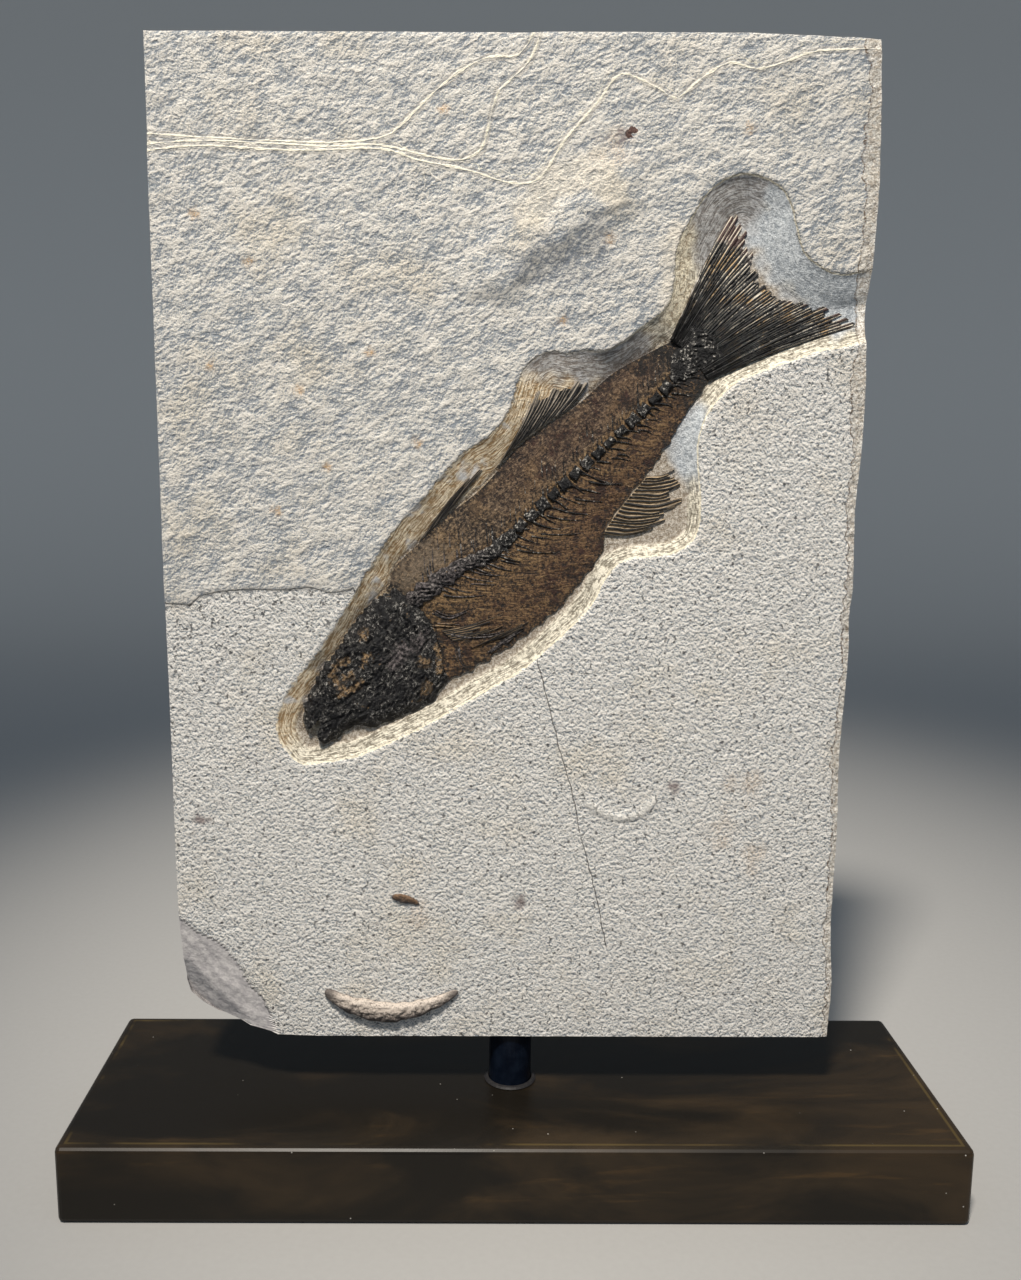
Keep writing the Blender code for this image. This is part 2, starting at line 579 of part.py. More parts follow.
def make_fish():
    flank, skull = flank_outline(), skull_outline()

    def on_floor(point):
        return HOLLOW_FLOOR + GAP

    def on_flank(point):
        return flank_level(point, flank) + GAP

    relief("flank", [flank], lambda p: flank_level(p, flank), on_floor, FOSSIL_SKIN,
           dots=grid_inside(flank, 5 * MM, 2 * MM))
    relief("skull", [skull], lambda p: skull_level(p, skull), on_floor, FOSSIL_BONE,
           dots=grid_inside(skull, 2 * MM, 0.8 * MM))
    make_backbone(on_flank)
    make_fins(on_floor, on_flank)


def clear_scene():
    for obj in list(bpy.data.objects):
        bpy.data.objects.remove(obj)


def main():
    clear_scene()
    face = Face()
    make_base()
    make_post()
    make_slab(face)
    make_fish()
    make_pod("crescent_coprolite", COPROLITE_LINE, COPROLITE_HALF_WIDTH, COPROLITE_HEIGHT, face)
    make_pod("small_coprolite", SCRAP_LINE, SCRAP_HALF_WIDTH, SCRAP_HEIGHT, face)
    make_pod("scale_scrap", SCALE_LINE, SCALE_HALF_WIDTH, SCALE_HEIGHT, face)


main()
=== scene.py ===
"""Dresses the fossil fish slab: the limestone face and its prepared hollow, the fish's skin, bones and fins, the
small fossils beside it, and the patinated stand. Metres, +Z up; the slab's face looks along -Y."""

import math

import bpy
import numpy as np
from bpy.props import FloatProperty, FloatVectorProperty, IntProperty, PointerProperty
from mathutils import Euler, Matrix, Vector


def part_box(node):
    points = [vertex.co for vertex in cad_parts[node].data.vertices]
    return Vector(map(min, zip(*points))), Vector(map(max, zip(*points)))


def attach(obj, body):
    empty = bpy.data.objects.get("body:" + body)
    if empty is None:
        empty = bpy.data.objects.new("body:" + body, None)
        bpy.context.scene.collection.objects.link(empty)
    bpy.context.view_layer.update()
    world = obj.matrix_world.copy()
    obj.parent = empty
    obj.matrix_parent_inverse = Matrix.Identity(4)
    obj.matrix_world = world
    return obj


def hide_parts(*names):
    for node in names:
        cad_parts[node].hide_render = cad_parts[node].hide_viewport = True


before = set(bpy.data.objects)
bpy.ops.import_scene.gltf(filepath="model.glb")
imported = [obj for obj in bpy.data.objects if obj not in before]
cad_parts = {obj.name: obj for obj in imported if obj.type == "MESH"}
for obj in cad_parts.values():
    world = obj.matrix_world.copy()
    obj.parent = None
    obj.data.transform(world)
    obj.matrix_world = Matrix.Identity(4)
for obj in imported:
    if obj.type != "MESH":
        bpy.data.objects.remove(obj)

bl_info = {
    "name": "Fossil Fish Slab",
    "version": (1, 0, 0),
    "blender": (4, 5, 0),
    "location": "View3D > Sidebar > Fossil",
    "description": "Models a limestone slab with a prepared fossil fish on its stand",
    "category": "Object",
}

MM = 0.001
NEAR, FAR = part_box("slab")  # the slab's lowest and highest corners
BODY = "root"
PIN_HOLE_RADIUS = 4.3 * MM

# Levels are measured out from the slab's middle plane
BACK_LEVEL = -FAR.y
UPPER_BED = -BACK_LEVEL
LOWER_BED = UPPER_BED - 1.2 * MM
HOLLOW_FLOOR = UPPER_BED - 3.6 * MM
LEDGE_DROP, LEDGE_RUN = 0.35 * MM, 0.6 * MM
TAIL_DEEPENING = 0.2 * MM  # how much lower the floor is round the tail
SEAT = HOLLOW_FLOOR - 0.3 * MM  # how far back the pieces that lie in the hollow reach

# The fish's own directions: points on it are (along, across) from the snout
SNOUT = np.array((-60.0, 135.1)) * MM
FISH_ANGLE = math.radians(44)
ALONG = np.array((math.cos(FISH_ANGLE), math.sin(FISH_ANGLE)))
ACROSS = np.array((-math.sin(FISH_ANGLE), math.cos(FISH_ANGLE)))
TOOL_ANGLE = math.radians(27)  # the chisel's marks rise to the right


def mm(*points):
    """Points written in millimetres, in metres."""
    return np.array(points, dtype=float) * MM


# Lines on the slab's face, as (x, z)
LEFT_EDGE = mm((-69.5, 40.5), (-72.5, 41.7), (-78.5, 42.9), (-83, 44.5), (-88, 45.9), (-92.5, 48.7),
               (-96, 52.0), (-97.0, 55.7), (-97.2, 65), (-97.5, 77.4), (-97.8, 90), (-97.9, 319.8))
BROKEN_EDGE = mm((93.9, 40.5), (94.4, 57.9), (93.3, 74.9), (93.5, 105.3), (93.0, 126), (94.0, 157.7), (93.5, 166.2),
                 (94.2, 174.6), (93.6, 196.7), (94.4, 210.3), (94.7, 227.7), (93.9, 244.8), (94.4, 260.2),
                 (95.0, 283.0), (94.1, 305.3), (93.5, 317.9))
BROKEN_BRINK = mm((92.3, 40.5), (92.8, 58), (91.4, 76), (92.0, 105), (90.8, 126), (92.4, 150), (91.6, 166),
                  (92.4, 178), (91.2, 199.5), (92.2, 212), (90.4, 227), (91.7, 245), (90.4, 262), (91.6, 275),
                  (89.9, 290), (91.2, 305), (89.2, 317.9))
TOP_EDGE = mm((-97.9, 319.8), (60, 319.5), (93.5, 318.2))
CHIP_BRINK = mm((-97.3, 77.4), (-92, 73), (-85.5, 69.5), (-80.7, 63.5), (-78, 57.3), (-73.7, 52.6), (-69.5, 40.5))
CHIP_FACET = mm((-96.5, 64), (-88, 56), (-80, 47), (-77.4, 43.8))
CHIP_CORNER = mm((-120, 30))  # a point outside the slab, beyond the broken corner
CHIP_STRIP = mm((-97.3, 78.5), (-88, 71.5), (-82.7, 66.6), (-77, 60.4), (-66, 49.5), (-56.8, 39))
BED_LEDGE = mm((-98, 170.1), (-90.7, 169.6), (-87.9, 172.1), (-82.3, 173.5), (-73.9, 174.1), (-65.6, 173.9),
               (-57.2, 174.7), (-51.7, 173.1), (-47.5, 173.7), (-45, 174.5), (-42, 158), (46, 238), (80, 255),
               (96, 247))
TOP_LEDGES = [
    mm((-98, 289.9), (-83.8, 291.2), (-57.7, 290.1), (-36.8, 290.6), (-26.3, 287.7), (-13.2, 285.2), (-2.7, 282.2),
       (5.2, 283.3), (11.6, 292.7), (20.5, 302.6), (26.1, 309.2), (36, 305.6), (40.8, 303.2), (46.3, 307.6),
       (53.9, 312), (61.7, 310.5), (69.4, 312.5), (77, 314.9), (96, 315.7)),
    mm((-98, 291.8), (-80, 292.5), (-50, 291.2), (-36.8, 291.6), (-18.5, 287.9), (-10.6, 290.2), (-8, 297.6),
       (-5.5, 305), (2.2, 312.3), (6, 322)),
    mm((-98, 294.4), (-86.4, 293.6), (-73.4, 293), (-57.7, 292.4), (-49.9, 292.2), (-36.8, 293.4), (-31.5, 296.3),
       (-23.7, 303.7), (-15.9, 309.8), (-8.1, 313.5), (-0.4, 314), (4.7, 322)),
]
CRACK = mm((6.3, 154.6), (8.4, 146), (10.7, 137.4), (12.9, 128.7), (16.5, 116.9), (19, 105), (22.1, 93),
           (25.2, 80.8), (27.5, 68.5))
RIDGE_LINE = mm((21.7, 112.5), (24.6, 110.2), (30.4, 108.1), (36.1, 109.2), (40.3, 113.1))
RIDGE_HALF_WIDTH, RIDGE_HEIGHT = 1.8 * MM, 0.9 * MM
MOUND_CREST = mm((-3.5, 258.5), (-1.5, 262), (3.6, 266.3), (9.1, 268.7), (13.3, 271.6), (18.4, 274.5), (24, 278))
MOUND_ENDS = mm((-35, 238), (55, 298))  # the crest's line is drawn on to these
MOUND_ABOVE, MOUND_BELOW, MOUND_HEIGHT = 16 * MM, 10 * MM, 2.4 * MM
MOUND_SHADE = mm((-3, 260), (5.4, 267.7), (12, 268.5), (18.7, 274.1), (23.2, 272.8), (23.2, 267.7), (24.7, 258.5),
                 (16.8, 257), (9.9, 255), (0.2, 256.7))
DENT_MIDDLE, DENT_RADIUS, DENT_LEVEL = mm((2, 82))[0], 4 * MM, -0.6 * MM
COPROLITE_LINE = mm((-55, 54.8), (-49, 51), (-39, 48.7), (-30, 49), (-22, 51.6), (-16, 54.9))
SCRAP_LINE = mm((-35.2, 84), (-31, 83.4), (-27.3, 81.9))
SCALE_LINE = mm((30.2, 298.2), (28.6, 294.5), (26.2, 290.6))
IRON_SPECKS = mm((-20, 300.5), (-27, 214.5), (-39.8, 238.5), (-86, 274), (-83, 235), (-72, 262), (-59, 228.5),
                 (24, 268), (-66, 196), (12, 247), (60, 296), (-52, 208))
BROWN_STAINS = mm((70, 96), (-27, 77), (60, 103), (24.5, 291), (66, 118))
MAUVE_SPOTS = mm((-90.1, 107.1), (2, 82.3), (46, 117), (27, 294))
# Lines round which blue-grey shade is painted on the hollow's walls that face away from the lamp, by the tail and the
# fin pockets
BLUE_SHADE_LINES = [mm((65, 283.7), (71.2, 277.6), (76.6, 267.7), (82.9, 261.5), (89.2, 255.8), (94.4, 251)),
              mm((66, 272), (72, 264), (80, 257), (88, 250)), mm((47.5, 218.7), (49.5, 211))]
MAUVE_LINES = [mm((50, 266), (49.5, 276), (51.5, 281), (56, 284), (61, 284.5)), mm((57, 276), (60, 278)),
               mm((6, 238.5), (12.2, 237.5), (17.9, 237.5), (23.2, 236), (30, 240))]
# Cream tints: the first on the tail hollow's left wall, the second on the mound's crest, where it is also a painted
# highlight
CREAM_AND_HIGHLIGHT_LINES = [mm((42.5, 268), (43, 262), (42.5, 255), (43, 249)), mm((2, 274), (9, 282), (19, 286), (24, 279))]

# Outlines and lines on the fish, as (along, across)
HOLLOW_BRINK = mm(
    (-8.9, -7), (-4.8, -11), (4.2, -17), (15.2, -21.3), (26.9, -24.8), (33.1, -26.3), (45.1, -29.2), (57.4, -31.9),
    (76.2, -32.3), (84, -31.4), (88.5, -29.6), (93.7, -28.2), (98.5, -29.2), (104.1, -33.5), (109, -36.8),
    (114.5, -38), (118.4, -36.8), (124.4, -31.1), (129.5, -24.6), (135.4, -18.3), (141.8, -15), (150.5, -13.9),
    (157, -15.9), (165.5, -19.7), (173.9, -23.6), (184, -30), (197, -37), (203, -22), (191.5, -12), (188.6, -6),
    (188.2, -1.1), (190.4, 4.2), (193.4, 9.6), (194.5, 15.5), (192.4, 21.6), (189.1, 25.6), (184.9, 27.6),
    (180.2, 28.2), (176.1, 27.6), (168.1, 25.2), (163, 22.4), (156.8, 16.6), (151, 14), (143.2, 15), (136.9, 15.6),
    (131.8, 17.4), (129.3, 20.4), (124.8, 23.4), (122.7, 26.3), (119, 28.5), (112.7, 28.8), (109.3, 27.3),
    (105.7, 24.9), (101.7, 23.3), (96, 22.4), (90.9, 22.9), (87.8, 23.8), (79.3, 23.6), (70.6, 22.7), (60.3, 22.3),
    (52, 20.8), (46.8, 19.3), (41.5, 18.3), (33.9, 16.1), (27.8, 14.5), (20.9, 12.9), (13.6, 11.6), (4.6, 10.3),
    (-2.4, 7.9), (-6, 5.2), (-8.3, 1.3))
BACK_EDGE = mm((45.6, 11.6), (50.2, 14.2), (60.9, 14.3), (71.5, 14.2), (81.9, 13.2), (89.1, 13.6), (97.6, 14.2),
               (107.6, 13), (117.3, 11.4), (127, 11.2), (132.8, 10.4), (142.8, 7.6), (146.5, 6.4))
BELLY_EDGE = mm((38.6, -19.4), (42.5, -20.8), (50.6, -22.7), (59.2, -24.5), (69.2, -25.6), (76, -26), (83.2, -24.9),
                (90.8, -23.9), (96.5, -22), (100, -18.6), (107, -16.8), (117.7, -15.6), (127.1, -13.8),
                (132.4, -12.3), (137.7, -10.8), (146.5, -8.6))
SKIN_END = 148 * MM
GILL_EDGE = mm((38.6, -19.4), (43.6, -11.1), (46.2, -3.9), (46.4, 3), (45.6, 11.6))
HEAD_CROWN = mm((-0.8, -1.5), (1.5, 1.9), (6, 4.8), (11.7, 6.7), (16.3, 8.3), (21.7, 8.6), (26.3, 10), (31.7, 11.2),
                (38.9, 11.6), (43, 10.8), (45.6, 10))
HEAD_JAW = mm((0.5, -8.2), (3.4, -9.2), (10.1, -10.4), (14.6, -14.9), (21, -17.4), (29.6, -20.4), (34.5, -20),
              (39, -18.6))
SPINE_LINE = mm((44.6, 5.6), (47.4, 5.4), (50.9, 4.9), (57.8, 3.8), (64.6, 2.2), (71.2, -0.6), (77.5, -1.4),
                (84.6, -1.2), (101.1, -1.3), (117.5, -1.5), (134.6, -1.5), (147.6, -0.6))
# The line that parts the hollow's back side from its belly side slants down between these
PARTING_RUN, PARTING_HEIGHT = (150 * MM, 203 * MM), (-1 * MM, -29 * MM)
# How wide the hollow's wall is at each place along the fish, on either side of it
WALL_REACH_BACK = mm((-10, 6), (20, 7), (45, 10), (80, 10), (96, 14), (130, 14), (150, 9), (205, 10))
WALL_REACH_BELLY = mm((-10, 5), (92, 5), (100, 3.6), (126, 3.6), (136, 5), (170, 4.6), (185, 6), (205, 7))
EYE_MIDDLE, EYE_LENGTH, EYE_HEIGHT = (20 * MM, 3 * MM), 6.5 * MM, 3.4 * MM

SKIN_TAN_LINE = mm((47, 8), (54, 9.5), (60, 9))
SKULL_TAN_LINES = [mm((16.1, 5), (20, 5.9), (22.3, 4.7)), mm((16.5, -1.1), (15.2, 1.5), (16.1, 5)),
                   mm((13.2, -0.8), (17.9, -2.5), (20.1, -2.5)), mm((43, -10.1), (41.4, -13.6), (38.7, -15.3)),
                   mm((34, -15.8), (31.5, -16.9))]
SKULL_TAN_SPOTS = [mm((26.2, 1.3), (27, 1.4)), mm((37.2, -10.3), (37.6, -11)), mm((32.6, -16.5), (33.2, -16.2)),
                   mm((18, 1.2), (20, 0.8)), mm((30, 6.5), (31, 6.8))]
SKULL_CREASES = [mm((13.9, 1.4), (20.8, -0.3), (28.5, -1.9)), mm((9.5, -2.3), (16.9, -3.6), (22, -4.2), (28.5, -4.1)),
                 mm((4, -3.5), (12.1, -7), (18.7, -11.8), (25.6, -14.9)), mm((36, -9), (35, -13), (33, -15.5)),
                 mm((24, 7), (30, 4), (37, 3.4), (42, 4.5)), mm((40.5, 4), (38.2, -2), (39, -8))]
SKULL_RIDGES = [mm((9.5, -0.6), (16, -2.4), (22.5, -3.1), (29, -2.9)), mm((41.4, -13.6), (38.9, -16.9), (34.8, -19)),
                mm((42.6, -6), (43.2, 0), (42.5, 6)), mm((8, 3), (14, 6.3), (22, 7.3), (31, 9.4)),
                mm((31, 2.5), (33.5, -3), (33, -9), (30, -14))]
SKULL_PURPLE = mm((31, -5), (36, -4.2), (41, -6))
GIRDLE_BONES = [mm((47, -14.7), (45.2, -17.3), (44.2, -20.5)), mm((49.3, -2.8), (51.2, -6.7), (56.2, -8.7)),
                mm((48.4, -10.4), (51.4, -14.4), (56, -18.4), (59.2, -20.1))]
GIRDLE_GOLD = [mm((45.2, -20.1), (47, -21.5), (49.2, -23)), mm((46.5, -5.1), (49.9, -8.7), (51.6, -10.6))]
PELVIC_BONES = [mm((50.3, -22), (55.3, -22.7), (60.4, -23.2)), mm((53, -21.8), (58, -22.2), (64, -23.6))]
TAIL_BLACK = mm((143, 8), (147.9, 7.9), (154, 9), (162.8, 11.8), (172.3, 17.5), (177.3, 12.2), (176, 5.1),
                (177.2, 0.5), (176.3, -6.6), (182, -12.1), (183.5, -17.1), (186, -23.5), (180, -25), (161.3, -16.5),
                (152.1, -12), (143, -9))
TAIL_LOBE = mm((174, 18.5), (179, 20.6), (184.5, 21.5), (185.5, 13), (182, 5), (179.4, 1), (177.6, 6), (178, 12))
TAIL_TIPS = [mm((178, -6.5), (182.5, -11.5), (184.5, -17), (184.5, -22.5))]
FRONT_VERTEBRA, LAST_VERTEBRA = 74 * MM, 149 * MM
CRUSHED_FRONT, CRUSHED_REAR = (43.5, 84.5), (141, 157)  # the spine's crushed stretches, in millimetres along it

# The stage
LAMP_PLACE, LAMP_AIM, LAMP_COLOUR = (-0.20, -0.68, 1.30), (0, 0, 0.20), (1.0, 0.93, 0.83)
LAMP_RADIUS, LAMP_CONE = 0.09, math.radians(30)
SKY_COLOUR = (0.68, 0.82, 1.0, 1)
FLOOR_SIZE, FLOOR_MIDDLE, BACKDROP_HEIGHT, BACKDROP_BEND = 6, (0, -1.2, 0), 3, 0.9
CAMERA_PLACE = (-0.0135, -0.3397, 0.2156)
CAMERA_PITCH, CAMERA_ROLL = math.radians(9.52), math.radians(-0.17)
CAMERA_LENS, CAMERA_SENSOR, CAMERA_SHIFT = 33.69, 36, 0.0335


# ---------------------------------------------------------------- plane geometry, on arrays of points

def smoothed(line, step, closed=False):
    """A smooth (Catmull-Rom) curve through the points, with a point about every step."""
    count = len(line)
    curve = []
    for i in range(count if closed else count - 1):
        reach = [(i + k) % count if closed else min(max(i + k, 0), count - 1) for k in (-1, 0, 1, 2)]
        a, b, c, d = (line[k] for k in reach)
        pieces = max(1, round(float(np.hypot(*(c - b))) / step))
        for t in np.arange(pieces) / pieces:
            curve.append(b + ((c - a) * t + (2 * a - 5 * b + 4 * c - d) * t * t
                              + (3 * b - a - 3 * c + d) * t * t * t) / 2)
    return np.array(curve if closed else curve + [line[-1]])


def from_fish(points):
    """Points on the fish, as points on the slab's face."""
    return SNOUT + points[:, :1] * ALONG + points[:, 1:] * ACROSS


def to_fish(points):
    """Points on the slab's face, as points on the fish."""
    return np.column_stack(((points - SNOUT) @ ALONG, (points - SNOUT) @ ACROSS))


def distance(points, line, closed=False):
    """How far each point is from a line."""
    nearest = np.full(len(points), np.inf)
    for a, b in zip(line, np.roll(line, -1, axis=0) if closed else line[1:]):
        share = np.clip((points - a) @ (b - a) / ((b - a) @ (b - a)), 0, 1)
        nearest = np.minimum(nearest, np.hypot(*(points - a - share[:, None] * (b - a)).T))
    return nearest


def is_inside(points, outline):
    x, z = points.T
    inside = np.zeros(len(points), dtype=bool)
    for (ax, az), (bx, bz) in zip(outline, np.roll(outline, -1, axis=0)):
        if az != bz:
            inside ^= ((az > z) != (bz > z)) & (x < ax + (z - az) * (bx - ax) / (bz - az))
    return inside


def depth_inside(points, outline):
    """How far inside an outline each point is; negative outside."""
    return distance(points, outline, closed=True) * np.where(is_inside(points, outline), 1, -1)


def above(points, line):
    """How far above a line that runs from left to right each point is, square to the line."""
    x, z = points.T
    ahead = np.interp(x + 1 * MM, *line.T)
    behind = np.interp(x - 1 * MM, *line.T)
    slope = (ahead - behind) / (2 * MM)
    return (z - np.interp(x, *line.T)) / np.sqrt(1 + slope ** 2)


def ease(value, low=0.0, high=1.0):
    """A smooth step from 0 at low to 1 at high."""
    share = np.clip((value - low) / (high - low), 0, 1)
    return share * share * (3 - 2 * share)


def along(line, share):
    """Points at shares of a line's count of points."""
    steps = np.arange(len(line)) / (len(line) - 1)
    return np.column_stack([np.interp(share, steps, line[:, axis]) for axis in (0, 1)])


def stretched(points, angle, length, width):
    """Points in a frame turned by an angle and measured in units of a length and a width."""
    turn = np.array(((math.cos(angle), -math.sin(angle)), (math.sin(angle), math.cos(angle))))
    return points @ turn / (length, width)


def noise(points, seed):
    """Smooth noise, about -1 to 1, that varies over a unit."""
    angles = np.random.RandomState(seed).rand(64, 64) * math.tau
    cell = np.floor(points).astype(int)
    part = points - cell
    blend = part ** 3 * (part * (part * 6 - 15) + 10)

    def pull(right, up):
        angle = angles[(cell[:, 0] + right) % 64, (cell[:, 1] + up) % 64]
        return np.cos(angle) * (part[:, 0] - right) + np.sin(angle) * (part[:, 1] - up)

    low = pull(0, 0) + (pull(1, 0) - pull(0, 0)) * blend[:, 0]
    high = pull(0, 1) + (pull(1, 1) - pull(0, 1)) * blend[:, 0]
    return 1.5 * (low + (high - low) * blend[:, 1])


def crags(points, seed):
    """Sharp-crested noise, 0 to 1, for broken and bony surfaces."""
    return 1 - np.abs(noise(points, seed))


def rounded(value, width):
    """A quarter wave's rise, from 0 at nought to 1 at a width and past it."""
    return np.sin(np.clip(value / width, 0, 1) * math.pi / 2)


def arch(v):
    """A half circle's height across a strip, for v from 0 to 1."""
    return np.sqrt(np.maximum(1 - (2 * v - 1) ** 2, 0))


def square_to(run):
    """Vectors a quarter turn to the left of some others."""
    return np.column_stack((-run[:, 1], run[:, 0]))


def wander(run, row, length, seed):
    """Noise along a line, a different one for each row."""
    return noise(np.column_stack((run / length, run * 0 + row)), seed)


# ---------------------------------------------------------------- meshes

def select_only(*objects):
    bpy.ops.object.select_all(action="DESELECT")
    for each in objects:
        each.select_set(True)
    bpy.context.view_layer.objects.active = objects[0] if objects else None


def corners(mesh):
    """A mesh's vertex positions as an array."""
    flat = np.empty(len(mesh.vertices) * 3)
    mesh.vertices.foreach_get("co", flat)
    return flat.reshape(-1, 3)


def set_corners(mesh, places):
    mesh.vertices.foreach_set("co", np.asarray(places, dtype=float).ravel())
    mesh.update()


def store(mesh, name, *values):
    """Keeps up to three values at each vertex for the materials to read, and 0 where there is none."""
    kept = np.zeros((len(mesh.vertices), 4), dtype=np.float32)
    for channel, value in enumerate(values):
        kept[:len(value), channel] = value
    kept[:, 3] = 1
    mesh.attributes.new(name, "FLOAT_COLOR", "POINT").data.foreach_set("color", kept.ravel())


def named(name):
    """The active object, with a new name for it and its mesh."""
    piece = bpy.context.object
    piece.name = name
    piece.data.name = name
    return piece


def relief(name, columns, rows, place, back_levels, smooth_angle=50):
    """A closed relief from a grid. place(u, v) gives the grid's points on the slab's face and their levels, and
    the grid's rim is drawn back through the back levels and filled."""
    select_only()
    bpy.ops.mesh.primitive_grid_add(x_subdivisions=columns, y_subdivisions=rows, size=1)
    piece = named(name)
    flat = corners(piece.data)
    points, level = place(flat[:, 0] + 0.5, flat[:, 1] + 0.5)
    set_corners(piece.data, np.column_stack((points[:, 0], -level, points[:, 1])))
    bpy.ops.object.mode_set(mode="EDIT")
    bpy.ops.mesh.select_all(action="SELECT")
    bpy.ops.mesh.region_to_loop()
    for level in back_levels:
        bpy.ops.mesh.extrude_edges_move(TRANSFORM_OT_translate={"value": (0, 0, 0)})
        bpy.ops.transform.resize(value=(1, 0, 1), center_override=(0, -level, 0))
    bpy.ops.mesh.edge_face_add()
    bpy.ops.mesh.select_all(action="SELECT")
    bpy.ops.mesh.normals_make_consistent(inside=False)
    bpy.ops.mesh.select_all(action="DESELECT")
    bpy.ops.object.mode_set(mode="OBJECT")
    bpy.ops.object.shade_smooth_by_angle(angle=math.radians(smooth_angle))
    return piece


def joined(name, pieces):
    """Several pieces as one object."""
    select_only(*pieces)
    bpy.ops.object.join()
    return named(name)


def cover(piece, finish):
    """Gives a piece one finish in place of what it has."""
    piece.data.materials.clear()
    piece.data.materials.append(finish)


def apply_modifier(piece, kind, **settings):
    """Adds a modifier to the selected piece and applies it."""
    modifier = piece.modifiers.new(kind.lower(), kind)
    for key, value in settings.items():
        setattr(modifier, key, value)
    bpy.ops.object.modifier_apply(modifier=modifier.name)


def settle(piece, node, finish):
    """Gives a piece its finish and puts it in the place of its node."""
    cover(piece, finish)
    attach(piece, BODY)
    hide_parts(node)
    select_only()


def strands(name, lines, radii, sides):
    """Thin round bars that taper to their ends. Each line is an array of places."""
    curve = bpy.data.curves.new(name, "CURVE")
    curve.dimensions = "3D"
    curve.bevel_depth = 1.0
    curve.bevel_resolution = sides
    curve.use_fill_caps = True
    for line, radius in zip(lines, radii):
        spline = curve.splines.new("POLY")
        spline.points.add(len(line) - 1)
        for i, (point, place) in enumerate(zip(spline.points, line)):
            point.co = (*place, 1)
            point.radius = radius * (1 - 0.65 * (i / (len(line) - 1)) ** 2)
    bars = bpy.data.objects.new(name, curve)
    bpy.context.scene.collection.objects.link(bars)
    select_only(bars)
    bpy.ops.object.convert(target="MESH")
    bpy.ops.object.shade_smooth()
    return bpy.context.object


# ---------------------------------------------------------------- material wiring

